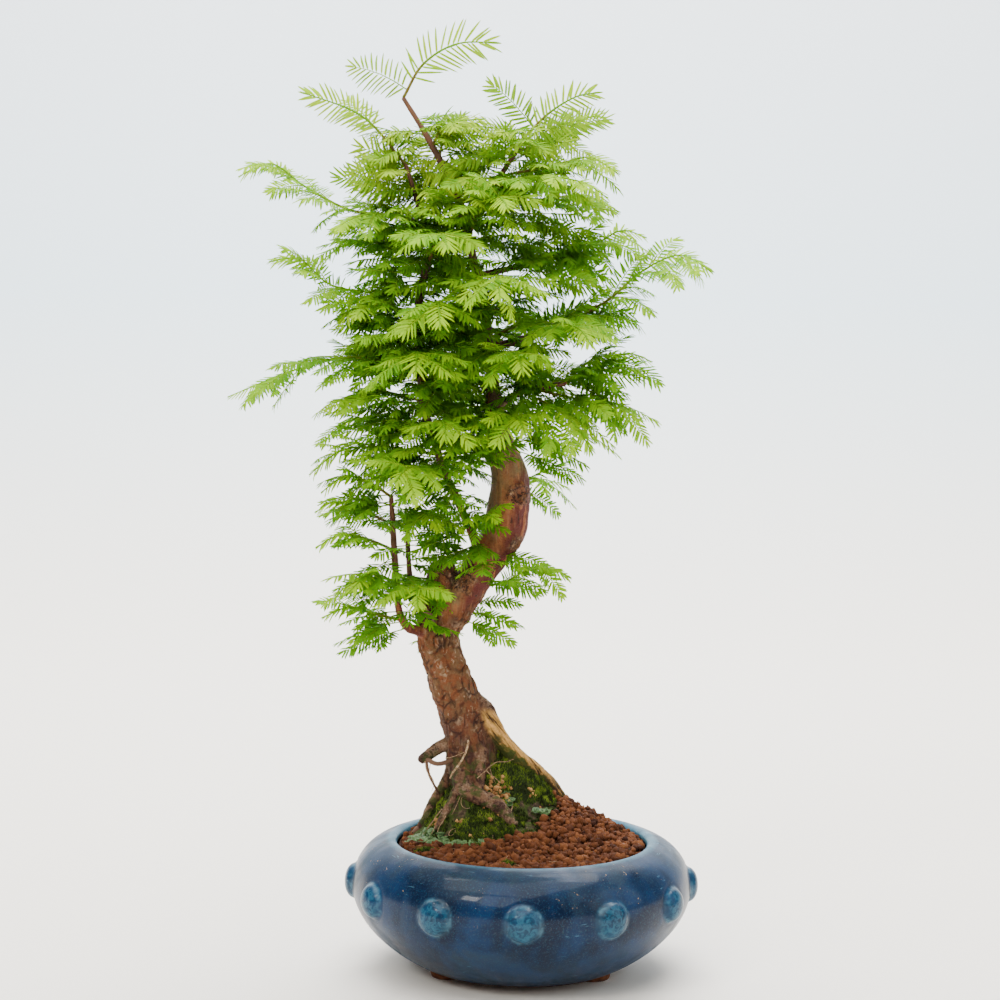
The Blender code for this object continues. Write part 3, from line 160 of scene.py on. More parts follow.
# Sprays. Each row: name, stem that carries it, height on that stem, the points that its shoot passes
# after leaving the stem, length of its end frond, length of its needles, how far the fronds face the
# front (0 lies flat, 1 stands), and its side fronds: share of the shoot, turn, lift and length.
SPRAYS = (
    ("apex", "trunk", 532, ((-66, -4, 552), (-46, -6, 564), (-21, -8, 565)), 56, 18, 0.9,
     ((0.02, 176, 12, 44),)),
    ("top_left", "leader", 492, ((-102, -10, 520), (-139, -14, 534)), 46, 14, 0.7, ((0.3, -50, 30, 36),)),
    ("top_right_tip", "top_right", 510, ((10, -5, 524), (26, -3, 534), (41, -2, 537)), 44, 14, 0.8,
     ((0.05, 176, 42, 42),)),
    ("long_left", "left_high", 462, ((-111, -2, 465), (-138, 2, 479), (-158, 6, 492), (-178, 8, 484)),
     38, 10, 0.25, ((0.25, 55, 5, 32), (0.4, -50, 25, 30), (0.72, 45, 5, 22))),
    ("long_right", "right_limb", 402, ((49, -8, 414), (67, -10, 430), (89, -15, 440), (109, -20, 430)),
     40, 13, 0.35, ((0.2, 35, 50, 38), (0.42, -45, -5, 36), (0.5, 50, 40, 32))),
    ("far_left", "leader", 366, ((-106, -12, 376), (-141, -12, 368), (-182, -10, 351)), 40, 10, 0.15,
     ((0.3, 50, 0, 34), (0.42, -45, 5, 32), (0.62, 45, -5, 26))),
    ("fork_left", "leader", 414, ((-116, -14, 418), (-138, -15, 434), (-157, -14, 433)), 32, 11, 0.3,
     ((0.45, 48, -10, 32), (0.3, -45, 5, 32))),
    ("tier_right_high", "mid_right", 362, ((42, 2, 372), (60, 9, 380), (76, 14, 375)), 36, 12, 0.2,
     ((0.2, -45, 5, 36), (0.35, 48, 5, 26))),
    ("tier_right_low", "mid_right", 358, ((34, -14, 352), (54, -8, 350), (70, -4, 341)), 36, 11, 0.15,
     ((0.45, -42, -5, 30),)),
    ("upper_right", "up_right", 436, ((39, 18, 446), (56, 25, 455), (72, 30, 451)), 32, 11, 0.3,
     ((0.25, -60, 10, 32), (0.3, 40, 10, 24))),
    ("crown_right_a", "top_right", 500, ((14, 2, 510), (32, 8, 522), (45, 12, 523)), 36, 13, 0.6, ()),
    ("crown_right_b", "top_right", 486, ((12, -16, 492), (34, -21, 497), (52, -24, 487)), 36, 12, 0.2,
     ((0.4, -45, 0, 30),)),
    ("crown_right_c", "top_right", 468, ((4, 12, 472), (32, 17, 476), (55, 20, 466)), 36, 11, 0.15,
     ((0.35, 45, 5, 32), (0.45, -40, 5, 28))),
    ("crown_front_right", "top_right", 474, ((-4, -38, 484), (26, -50, 482), (44, -58, 472)), 34, 11, 0.2,
     ((0.35, -50, 0, 34),)),
    ("low_right", "trunk", 234, ((-14, 24, 236), (8, 29, 246), (29, 30, 239)), 34, 9, 0.3,
     ((0.35, 40, -12, 34), (0.3, -38, -8, 26))),
    ("low_left_end", "low_shoot", 214, ((-90, 2, 218), (-109, 3, 222), (-125, 4, 215)), 34, 9, 0.2,
     ((0.1, 55, -14, 32),)),
    ("low_left_fan", "low_shoot", 238, ((-94, -22, 246), (-106, -42, 237)), 30, 10, 0.1, ((0.3, 40, 0, 24),)),
    ("low_left_mid", "low_shoot", 258, ((-98, -8, 266), (-114, -11, 268), (-128, -12, 260)), 34, 9, 0.2,
     ((0.35, 42, 0, 24),)),
    ("low_left_high", "low_shoot", 274, ((-102, 8, 282), (-118, 14, 286), (-131, 18, 279)), 34, 9, 0.2,
     ((0.3, -45, 8, 30),)),
    ("low_left_top", "low_shoot", 291, ((-96, -8, 300), (-110, -12, 304), (-125, -12, 294)), 30, 9, 0.2,
     ((0.15, 55, 5, 30), (0.25, -50, 5, 28))),
    ("left_tier_a", "leader", 350, ((-90, -14, 356), (-106, -18, 352), (-119, -20, 341)), 32, 10, 0.15,
     ((0.3, 45, 0, 28),)),
    ("left_tier_b", "leader", 334, ((-90, 6, 338), (-110, 16, 336), (-127, 22, 322)), 34, 10, 0.15,
     ((0.35, -42, 5, 28),)),
    ("left_tier_c", "leader", 318, ((-86, -14, 322), (-112, -16, 320), (-132, -16, 305)), 36, 10, 0.15,
     ((0.3, 45, 0, 32),)),
    ("left_tier_d", "leader", 398, ((-90, -18, 408), (-104, -24, 406), (-116, -28, 394)), 34, 11, 0.2, ()),
    ("left_tier_e", "leader", 440, ((-86, 10, 446), (-110, 22, 446), (-130, 30, 433)), 36, 11, 0.2,
     ((0.35, -42, 8, 32),)),
    ("left_tier_f", "leader", 384, ((-90, 12, 396), (-104, 22, 398), (-117, 30, 388)), 34, 10, 0.2,
     ((0.3, -45, 0, 26),)),
    ("left_tier_g", "left_high", 459, ((-92, -22, 462), (-108, -30, 458), (-120, -34, 449)), 32, 10, 0.2, ()),
    ("top_front", "trunk", 504, ((-50, -14, 516), (-28, -24, 519)), 34, 12, 0.3, ((0.2, 50, 10, 30),)),
    ("top_back", "trunk", 496, ((-54, 20, 508), (-50, 42, 512)), 36, 12, 0.2, ((0.2, 45, 10, 32),)),
    ("fan_front_a", "trunk", 330, ((-12, -28, 342), (-6, -50, 342), (-2, -64, 334)), 32, 11, 0.1,
     ((0.4, 45, 0, 28),)),
    ("fan_front_b", "leader", 322, ((-52, -36, 338), (-50, -58, 340), (-48, -74, 330)), 34, 11, 0.1,
     ((0.35, -45, 0, 28),)),
    ("fan_front_c", "leader", 360, ((-66, -36, 376), (-66, -62, 380), (-66, -84, 368)), 36, 12, 0.1,
     ((0.35, 42, 0, 30), (0.4, -42, 0, 28))),
    ("fan_front_d", "trunk", 366, ((-14, -30, 378), (-8, -58, 382), (-4, -82, 370)), 36, 12, 0.1,
     ((0.35, 42, 0, 30),)),
    ("fan_front_e", "leader", 388, ((-58, -38, 406), (-54, -66, 410), (-52, -92, 396)), 38, 12, 0.1,
     ((0.35, -42, 0, 30),)),
    ("fan_front_f", "trunk", 402, ((-22, -36, 420), (-20, -68, 426), (-18, -96, 412)), 38, 12, 0.1,
     ((0.35, 42, 0, 32), (0.45, -42, 0, 28))),
    ("fan_front_g", "leader", 430, ((-56, -34, 446), (-52, -60, 450), (-48, -84, 440)), 36, 12, 0.15,
     ((0.35, 42, 0, 30),)),
    ("fan_front_h", "trunk", 448, ((-30, -30, 466), (-20, -56, 472), (-14, -78, 464)), 36, 12, 0.2,
     ((0.35, -42, 0, 30),)),
    ("fan_front_i", "leader", 302, ((-62, -34, 312), (-72, -54, 312), (-80, -70, 302)), 32, 10, 0.1,
     ((0.35, 42, 0, 26),)),
    ("fan_right_a", "right_limb", 391, ((16, -32, 398), (28, -52, 396), (36, -68, 386)), 34, 11, 0.1,
     ((0.35, 42, 0, 30),)),
    ("fan_right_b", "mid_right", 356, ((16, -30, 348), (28, -42, 338), (38, -50, 322)), 34, 10, 0.1,
     ((0.35, 42, 0, 26),)),
    ("fan_low_a", "low_front", 231, ((-66, -28, 240), (-64, -50, 228)), 30, 10, 0.1, ((0.25, 48, 0, 26),)),
    ("fan_low_b", "leader", 268, ((-28, -18, 282), (-20, -34, 280)), 28, 9, 0.2, ((0.2, -60, -5, 28),)),
    ("fan_low_c", "low_twig", 276, ((-68, 2, 284), (-58, -26, 282), (-52, -38, 274)), 30, 9, 0.1, ()),
    ("back_a", "trunk", 292, ((0, 36, 300), (8, 58, 298), (14, 74, 286)), 34, 10, 0.1, ((0.35, 45, 0, 28),
     (0.4, -42, 0, 28))),
    ("back_b", "back_low", 343, ((-32, 58, 350), (-38, 78, 348), (-44, 94, 336)), 36, 11, 0.1,
     ((0.15, 50, 0, 34), (0.25, -50, 0, 34))),
    ("back_c", "back_high", 422, ((-42, 50, 432), (-48, 70, 432), (-54, 88, 420)), 36, 11, 0.1,
     ((0.15, 50, 0, 34), (0.25, -52, 0, 36))),
    ("back_d", "leader", 372, ((-80, 24, 380), (-92, 46, 380), (-102, 66, 368)), 36, 10, 0.1,
     ((0.35, -42, 0, 30),)),
    ("back_e", "trunk", 466, ((-36, 24, 480), (-30, 46, 484), (-24, 68, 474)), 36, 11, 0.15,
     ((0.35, -42, 0, 32),)),
    ("back_f", "trunk", 388, ((-2, 24, 398), (12, 46, 398), (24, 66, 386)), 36, 11, 0.1,
     ((0.35, 42, 0, 30),)),
)

# Moss and liverwort
MOSSES = (
    # name, middle, half sizes, turn, thickness, bed
    ("moss_cushion", (-30.0, -15.0), (17.0, 10.0), 8.0, 3.0, "mound"),
    ("moss_bank", (1.0, 22.0), (24.0, 8.5), 38.0, 2.6, "mound"),
    ("moss_edge", (-58.0, -31.0), (9.0, 6.0), -35.0, 2.6, "soil"),
    ("moss_tuft", (-9.0, -62.0), (5.0, 4.0), 0.0, 3.0, "soil"),
)
LIVERWORT = (((-63.0, -3.0), (9.0, 7.0), 60.0, 70),)
STRAYS = (((-52.0, -14.0), (7.0, 5.0), 20.0, 26), ((-33.0, -22.0), (14.0, 2.6), 0.0, 30),
          ((12.0, 8.0), (5.0, 3.0), -30.0, 10), ((-9.0, 6.0), (4.0, 3.0), 0.0, 8))

# Fronds and shoots. AIRY_TOP is the height above which the crown is airier. FILL is the number of
# scattered little shoots of a spray on that stem, STEM_REACH the share of their length. A little
# shoot's row: height on the stem, heading, lift, bare length and length of its frond
SPRAY_TURN = {"fan_low_b": 6.0}
SIDE_START = 4.0
END_SHARE = 0.4
RIB_SHARES = np.linspace(0.0, 1.0, 9)
LARGE_NEEDLE = 14
LIGHT_THROUGH = 0.36
AIRY_TOP = 472.0
SPARSE = ("apex", "top_left", "top_right_tip")
FILL = {
    "trunk": 12, "leader": 10, "top_right": 8, "left_high": 6, "up_right": 6, "low_shoot": 3, "low_front": 2,
    "low_twig": 3,
}
STEM_REACH = {"low_shoot": 0.75, "low_front": 0.7, "low_twig": 0.7, "left_high": 0.85}
LITTLE_SHOOTS = {
    "top_left": ((478, 180, 14, 8, 36), (488, 205, 10, 4, 30), (470, 165, 24, 8, 34), (484, 150, 18, 5, 32),
     (485, 20, 18, 4, 28), (476, -35, 12, 4, 26), (480, 95, 20, 4, 26), (490, 190, 30, 3, 28),
     (485, 60, 62, 2, 28), (480, 170, 58, 2, 26)),
    "top_front": ((517, 5, 8, 8, 36), (513, -40, 8, 6, 34), (512, 170, 8, 4, 26), (510, 190, 12, 6, 30),
     (508, 60, 16, 8, 32), (503, 140, 14, 6, 30), (514, 20, 8, 10, 34), (498, 20, 62, 3, 28),
     (503, -60, 58, 3, 26)),
    "crown_right_a": ((497, 120, 28, 4, 30), (505, 60, 18, 4, 32), (500, -120, 22, 5, 30),
     (508, -20, 26, 4, 34), (490, 160, 10, 6, 30), (494, 10, 34, 6, 34), (484, 30, 24, 10, 36),
     (495, 90, 64, 2, 28), (490, -90, 60, 3, 28)),
    "crown_right_c": ((458, 6, 4, 34, 36), (462, -14, 6, 44, 36), (456, 16, 2, 52, 34), (468, -4, 6, 40, 36),
     (462, 26, 4, 28, 36), (459, -4, 0, 20, 34)),
    "fan_front_a": ((330, -10, -8, 12, 34), (322, 10, -12, 8, 34), (336, -30, -4, 14, 34)),
    "low_left_top": ((292, 180, 0, 6, 34), (286, 160, -6, 8, 32), (288, -150, -4, 8, 32)),
    "low_left_end": ((214, 180, -8, 6, 32), (220, 150, -4, 8, 32), (210, -160, -12, 8, 32)),
    "left_tier_e": ((452, 190, 12, 14, 36), (444, 170, 8, 14, 36), (436, 200, 4, 12, 34),
     (428, 160, 8, 12, 34), (460, 175, 20, 12, 34), (440, 185, 16, 22, 34)),
    "upper_right": ((433, 60, 35, 4, 34), (435, -40, 30, 4, 34), (436, 0, 42, 4, 36), (431, -60, 20, 4, 30),
     (436, -15, 14, 4, 32), (434, 20, 26, 8, 36), (430, 30, 48, 10, 34), (428, -20, 36, 12, 36),
     (429, 10, 22, 16, 34), (427, 0, -2, 34, 34), (430, -30, 0, 24, 34)),
    "long_right": ((400, 30, 40, 4, 34), (396, -20, 44, 4, 36), (392, 60, 30, 4, 32), (388, 10, 38, 8, 36),
     (398, 5, 24, 6, 34)),
    "tier_right_high": ((362, 20, 30, 4, 36), (361, -30, 24, 4, 34), (359, 60, 20, 4, 32),
     (362, 0, 16, 10, 36), (361, 0, 36, 8, 36), (360, -25, 34, 14, 36), (362, 20, 44, 20, 34)),
    "tier_right_low": ((362, 0, -14, 20, 36), (361, 25, -24, 14, 34), (360, -25, -18, 14, 34),
     (358, 10, -32, 12, 30)),
    "left_tier_b": ((328, 190, 0, 16, 34), (336, 170, 5, 14, 34), (342, 200, 6, 10, 34),
     (332, -60, 0, 8, 30)),
    "left_tier_c": ((312, 180, -5, 14, 34), (322, 182, -3, 18, 34), (324, -120, 2, 10, 30)),
    "fan_low_b": ((268, -150, 0, 4, 32), (262, -120, -5, 3, 28), (272, 160, 5, 6, 30)),
    "low_left_fan": ((240, -110, 5, 6, 32), (244, -60, 0, 4, 30), (236, 180, -5, 8, 30),
     (230, -30, 8, 4, 26)),
    "fan_low_c": ((262, -20, 8, 4, 26), (240, -60, 5, 5, 26), (250, 10, 10, 5, 28), (228, 0, 12, 4, 24)),
    "low_right": ((232, -155, 6, 6, 36), (219, 15, -4, 2, 30), (216, -15, -12, 2, 28), (223, 40, 5, 4, 34),
     (221, 75, 0, 4, 32)),
}


# Numbers and noise


def unit(vectors):
    """The vectors at length 1: each over the root of the sum of its squares."""
    return vectors / np.maximum(np.linalg.norm(vectors, axis=-1, keepdims=True), 1e-9)


def xyz(x, y, z=0.0):
    """Points from their coordinates. A single number stands for all the points."""
    return np.stack(np.broadcast_arrays(x, y, z), axis=-1)


def ring_angles(sides):
    """The angles of that many points at equal steps round a ring."""
    return np.arange(sides) * 2 * math.pi / sides


def cos_sin(degrees):
    return math.cos(math.radians(degrees)), math.sin(math.radians(degrees))


def between(where, spots, rows):
    """Rows of values at places among the spots, on straight lines between the spots' own rows."""
    return np.stack([np.interp(where, spots, rows[:, i]) for i in range(rows.shape[1])], axis=-1)


def lengths_along(path):
    """Distance of each of a path's points from its start, measured along the path."""
    steps = np.linalg.norm(np.diff(path, axis=0), axis=1)
    return np.concatenate([[0.0], np.cumsum(steps)])


def times(colour, factor):
    """The colour with each of its parts times the factor, and at most 1."""
    return tuple(min(1.0, factor * part) for part in colour)


def smooth_step(values, low, high):
    """0 below low, 1 above high and a smooth rise between them."""
    share = np.clip((values - low) / (high - low), 0.0, 1.0)
    return share * share * (3.0 - 2.0 * share)


def noise(points, size, seed=0):
    """Smooth noise from -1 to 1: each corner of a lattice of that size has its own scattered value,
    and a point takes the mean of its cell's eight corners, weighted by a cubic fade."""
    place = np.asarray(points, float) / size
    cell = np.floor(place)
    share = place - cell
    share = share * share * (3.0 - 2.0 * share)
    cell = cell.astype(np.int64)
    total = np.zeros(place.shape[:-1])
    for corner in np.ndindex(2, 2, 2):
        x, y, z = (cell[..., i] + corner[i] for i in range(3))
        mixed = (x * 374761393 + y * 668265263 + z * 1442695041 + seed * 974634777) & 0xFFFFFFFF
        mixed = ((mixed ^ (mixed >> 13)) * 1274126177) & 0xFFFFFFFF
        mixed = mixed ^ (mixed >> 16)
        weight = 1.0
        for i in range(3):
            weight = weight * (share[..., i] if corner[i] else 1.0 - share[..., i])
        total += weight * ((mixed & 0xFFFFFF) / 0xFFFFFF * 2.0 - 1.0)
    return total


def layered(points, size, layers=3, seed=0):
    """Noise with finer and fainter noise laid over it, each layer half the size of the last."""
    total = sum(noise(points, size / 2**i, seed + i) / 2**i for i in range(layers))
    return total / (2.0 - 0.5 ** (layers - 1))


def three_noises(points, size, seed):
    """A vector for each point, with a noise of its own along each axis."""
    return np.stack([noise(points, size, seed + i) for i in range(3)], axis=1)


# Shapes


class Shape:
    """Points in millimetres, faces, and values per point, gathered into one mesh."""

    def __init__(self):
        self.points = []
        self.faces = []
        self.smooth = []
        self.values = {}
        self.total = 0

    def add(self, points, faces, smooth=True, closed=True, **values):
        """Adds a part. A closed part whose signed volume is negative has its faces turned round."""
        points = np.asarray(points, float).reshape(-1, 3)
        if closed:
            middle = points.mean(axis=0)
            volume = 0.0
            for face in faces:
                corner = [points[face[:, i]] - middle for i in range(face.shape[1])]
                for a, b in zip(corner[1:], corner[2:]):
                    volume += float((corner[0] * np.cross(a, b)).sum())
            if volume < 0:
                faces = [face[:, ::-1] for face in faces]
        for face in faces:
            self.faces.append(face + self.total)
            self.smooth.append(np.full(len(face), smooth))
        for name in values:
            if name not in self.values:
                self.values[name] = [np.zeros(self.total)]
        for name, parts in self.values.items():
            given = np.asarray(values.get(name, 0.0), float)
            parts.append(np.broadcast_to(given.ravel() if given.ndim else given, len(points)).copy())
        self.points.append(points)
        self.total += len(points)

    def mesh(self, name):
        points = np.vstack(self.points) * MM + ORIGIN
        sizes = np.concatenate([np.full(len(face), face.shape[1]) for face in self.faces])
        corners = np.concatenate([face.ravel() for face in self.faces])
        mesh = bpy.data.meshes.new(name)
        mesh.vertices.add(len(points))
        mesh.vertices.foreach_set("co", points.ravel())
        mesh.loops.add(len(corners))
        mesh.loops.foreach_set("vertex_index", corners.astype(np.int32))
        mesh.polygons.add(len(sizes))
        mesh.polygons.foreach_set("loop_start", (np.cumsum(sizes) - sizes).astype(np.int32))
        mesh.polygons.foreach_set("use_smooth", np.concatenate(self.smooth))
        for key, parts in self.values.items():
            layer = mesh.attributes.new(key, "FLOAT", "POINT")
            layer.data.foreach_set("value", np.concatenate(parts).astype(np.float32))
        mesh.update(calc_edges=True)
        return mesh


def linked(name, data):
    """A new object with that data, in the scene."""
    item = bpy.data.objects.new(name, data)
    bpy.context.scene.collection.objects.link(item)
    return item


def placed(shape, name, material, slot, *nodes):
    """The shape as an object that rides on the frame, and stands for those CAD nodes."""
    mesh = shape.mesh(name)
    mesh.materials.append(material)
    item = linked(name, mesh)
    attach(item, "root")
    if nodes:
        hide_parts(*nodes)


def grid_faces(rows, columns, wrap_rows=False, wrap_columns=True):
    """Quads over a grid of points numbered row by row."""
    index = np.arange(rows * columns).reshape(rows, columns)
    if wrap_rows:
        index = np.vstack([index, index[:1]])
    if wrap_columns:
        index = np.hstack([index, index[:, :1]])
    return np.stack([index[:-1, :-1], index[:-1, 1:], index[1:, 1:], index[1:, :-1]], axis=-1).reshape(-1, 4)


def capped_faces(rows, sides):
    """Faces of a stack of rings between two poles, which are its first and last points."""
    ring = np.arange(sides)
    after = (ring + 1) % sides
    top = 1 + (rows - 1) * sides
    first = np.stack([np.zeros(sides, int), 1 + after, 1 + ring], axis=-1)
    last = np.stack([np.full(sides, 1 + rows * sides), top + ring, top + after], axis=-1)
    return [1 + grid_faces(rows, sides), np.vstack([first, last])]


def repeated(faces, count, size):
    """The same faces for each of a count of parts with that many points."""
    step = (np.arange(count) * size)[:, None, None]
    return [(face[None] + step).reshape(-1, face.shape[1]) for face in faces]


def stack(shape, rings, start, end, **values):
    """Rings of points joined to a closed skin, with a pole before the first and after the last."""
    rings = np.asarray(rings, float)
    rows, sides = rings.shape[:2]
    points = np.vstack([[start], rings.reshape(-1, 3), [end]])
    shape.add(points, capped_faces(rows, sides), **values)


def smooth_rows(rows, pitch):
    """A smooth curve through the rows, with a row about every pitch: each stretch between two rows
    is a cubic whose ends keep the direction between their neighbours."""
    rows = np.asarray(rows, float)
    padded = np.vstack([2 * rows[0] - rows[1], rows, 2 * rows[-1] - rows[-2]])
    out = [rows[:1]]
    for i in range(1, len(padded) - 2):
        a, b, c, d = padded[i - 1 : i + 3]
        count = max(1, int(round(np.linalg.norm((c - b)[:3]) / pitch)))
        t = (np.arange(1, count + 1) / count)[:, None]
        bend = 2 * b + (c - a) * t + (2 * a - 5 * b + 4 * c - d) * t**2 + (3 * b - a - 3 * c + d) * t**3
        out.append(bend / 2)
    return np.vstack(out)


def sweep(paths, radii, sides):
    """Points and faces of tubes along paths of equal length: around each path point lies a ring in
    the plane square to the path, and a pole stands a little beyond each end."""
    along = unit(np.gradient(paths, axis=1))
    whole = np.abs(unit(paths[:, -1] - paths[:, 0]))
    reference = np.eye(3)[np.argmin(whole, axis=1)][:, None]
    side = unit(np.cross(along, reference))
    over = np.cross(along, side)
    angle = ring_angles(sides)
    around = np.cos(angle)[:, None] * side[:, :, None] + np.sin(angle)[:, None] * over[:, :, None]
    rings = paths[:, :, None] + radii[:, :, None, None] * around
    count, rows = radii.shape
    start = paths[:, :1] - 0.5 * along[:, :1] * radii[:, :1, None]
    end = paths[:, -1:] + 0.5 * along[:, -1:] * radii[:, -1:, None]
    points = np.concatenate([start, rings.reshape(count, rows * sides, 3), end], axis=1)
    return points, repeated(capped_faces(rows, sides), count, rows * sides + 2)


# Materials


def arithmetic(operation, swapped=False):
    """An operator for Tone that adds a Math node, with its two inputs swapped for the reflected one."""

    def combine(tone, other):
        first, second = (other, tone) if swapped else (tone, other)
        return tone.finish.node("ShaderNodeMath", {"operation": operation}, {0: first, 1: second})

    return combine


class Tone:
    """A shader value. Arithmetic on it adds Math nodes to its finish."""

    def __init__(self, finish, socket):
        self.finish = finish
        self.socket = socket

    __add__, __radd__ = arithmetic("ADD"), arithmetic("ADD", True)
    __sub__, __rsub__ = arithmetic("SUBTRACT"), arithmetic("SUBTRACT", True)
    __mul__, __rmul__ = arithmetic("MULTIPLY"), arithmetic("MULTIPLY", True)


class Finish:
    """A material under construction. Fixed values go straight to the shader's own sockets."""

    def __init__(self, name, **fixed):
        self.material = bpy.data.materials.new(name)
        self.material.use_nodes = True
        self.tree = self.material.node_tree
        self.shader = self.tree.nodes["Principled BSDF"]
        self.place = self.node("ShaderNodeTexCoord", output="Object")
        for key, value in fixed.items():
            self.shader.inputs[key.replace("_", " ")].default_value = value

    def node(self, kind, settings=None, inputs=None, output=0):
        """Adds a node: its settings are set first, then the values or links of its sockets."""
        node = self.tree.nodes.new(kind)
        for key, value in (settings or {}).items():
            if key == "stops":
                ramp = node.color_ramp.elements
                while len(ramp) < len(value):
                    ramp.new(0.5)
                for element, (position, colour) in zip(ramp, value):
                    element.position = position
                    element.color = (*colour, 1.0)
            else:
                setattr(node, key, value)
        for key, value in (inputs or {}).items():
            socket = node.inputs[key]
            if isinstance(value, Tone):
                self.tree.links.new(value.socket, socket)
            elif socket.type == "RGBA":
                socket.default_value = (*value[:3], 1.0)
            else:
                socket.default_value = value
        return Tone(self, node.outputs[output])

    def mapped(self, stretch, turn=None):
        """Object coordinates, turned and then stretched where that is asked for."""
        place = self.place
        if turn:
            values = {"Vector": place, "Rotation": turn}
            place = self.node("ShaderNodeMapping", {"vector_type": "TEXTURE"}, values)
        if stretch:
            place = self.node("ShaderNodeMapping", None, {"Vector": place, "Scale": stretch})
        return place

    def noise(self, size, detail=2.0, stretch=None, roughness=0.5, warp=0.0, turn=None):
        """Noise whose features are about that many millimetres. It may be stretched along an axis,
        and that axis may be turned."""
        values = {"Vector": self.mapped(stretch, turn), "Scale": 1 / (size * MM), "Detail": detail}
        values |= {"Roughness": roughness, "Distortion": warp}
        return self.node("ShaderNodeTexNoise", None, values)

    def cells(self, size, feature, stretch, stray):
        """Cells about that many millimetres wide, whose walls stray by about that many millimetres."""
        place, scale = self.mapped(stretch), 1 / (size * MM)
        values = {"Vector": place, "Scale": scale, "Detail": 3.0}
        field = self.node("ShaderNodeTexNoise", None, values, "Color")
        values = {0: field, 1: (stray * MM,) * 3, 2: place}
        place = self.node("ShaderNodeVectorMath", {"operation": "MULTIPLY_ADD"}, values)
        values = {"Vector": place, "Scale": scale}
        return self.node("ShaderNodeTexVoronoi", {"feature": feature}, values, "Distance")

    def value(self, name):
        return self.node("ShaderNodeAttribute", {"attribute_name": name}, output="Fac")

    def band(self, value, low, high):
        """0 below low, 1 above high and a smooth rise between them."""
        settings = {"interpolation_type": "SMOOTHSTEP"}
        return self.node("ShaderNodeMapRange", settings, {"Value": value, "From Min": low, "From Max": high})

    def ramp(self, value, *stops):
        return self.node("ShaderNodeValToRGB", {"stops": stops}, {"Fac": value})

    def blend(self, share, first, second, how="MIX"):
        """A colour between two colours, or their product."""
        settings = {"data_type": "RGBA", "blend_type": how}
        return self.node("ShaderNodeMix", settings, {0: share, 6: first, 7: second}, 2)

    def coats(self, body, *coats):
        """A body colour with coats laid over it one by one, each a share and a colour."""
        for share, colour in coats:
            body = self.blend(share, body, colour)
        return body

    def height(self):
        return self.node("ShaderNodeSeparateXYZ", None, {"Vector": self.place}, "Z")

    def link(self, **links):
        for key, value in links.items():
            self.tree.links.new(value.socket, self.shader.inputs[key.replace("_", " ")])

    def bump(self, height, distance, strength=1.0):
        """Relief from a height value, whose full range is that many millimetres."""
        values = {"Height": height, "Distance": distance * MM, "Strength": strength}
        self.link(Normal=self.node("ShaderNodeBump", None, values))


# Sizes and colours that a user may change


def colour(name, description, default):
    return FloatVectorProperty(
        name=name, description=description, default=default, subtype="COLOR", min=0.0, max=1.0
    )


def length(name, description, default):
    return FloatProperty(name=name, description=description, default=default * MM, unit="LENGTH", precision=4)


def power(name, description, default):
    return FloatProperty(name=name, description=description, default=default, unit="POWER")


class PotLooks(bpy.types.PropertyGroup):
    stud_rise: length("Stud rise", "How far a stud stands out from the belly", 4.9)
    stud_radius: length("Stud radius", "Radius of a stud on the belly", 10.6)
    deep: colour("Deep glaze", "Colour of the thick glaze on the belly", (0.002, 0.007, 0.024))
    middle: colour("Middle glaze", "Glaze between its deep and thin places", (0.003, 0.02, 0.066))
    # Painted reflection: this grey-blue stands for the sheen of reflected light on the shoulder and the keel,
    # and it also colours the fine speckle.
    sheen_and_speckle: colour("Haze", "Grey-blue bloom on the shoulder and the keel", (0.018, 0.036, 0.06))
    stud: colour("Stud glaze", "Turquoise of the thin glaze on the studs", (0.005, 0.066, 0.12))
    edge: colour("Edge glaze", "Pale line where the glaze runs thin over an edge", (0.09, 0.24, 0.33))
    clay: colour("Bare clay", "Unglazed stoneware of the feet and the base", (0.16, 0.062, 0.03))


class SoilLooks(bpy.types.PropertyGroup):
    grain: length("Grain size", "Mean width of a clay grain", 4.3)
    pitch: length("Grain pitch", "Distance between the middles of neighbouring grains", 3.7)
    grain_colour: colour("Grain", "Colour of a clay grain", (0.115, 0.036, 0.012))
    # Also the colour of the bed under the grains, painted there as the shade in the gaps between them.
    dark_grain_and_gap_shade: colour("Damp grain", "Colour of a damp clay grain", (0.035, 0.01, 0.004))
    grain_light: colour("Dry grain", "Colour of a dry clay grain", (0.22, 0.078, 0.027))
    old_soil: colour("Old soil", "Colour of the old root ball", (0.045, 0.03, 0.018))
    crumb: colour("Crumbs", "Colour of the pale crumbs among the roots", (0.5, 0.27, 0.1))


class MossLooks(bpy.types.PropertyGroup):
    leaf: length("Moss leaf", "Mean length of a moss leaf", 1.5)
    density: FloatProperty(name="Moss density", description="Moss leaves on a square millimetre", default=3.2)
    dark: colour("Shaded moss", "Colour deep in the moss", (0.012, 0.018, 0.004))
    green: colour("Moss", "Colour of the moss leaves", (0.05, 0.088, 0.01))
    fresh: colour("Fresh moss", "Colour of the newest moss leaves", (0.2, 0.27, 0.03))
    lobe: colour("Liverwort", "Blue-green of the liverwort lobes", (0.06, 0.11, 0.034))


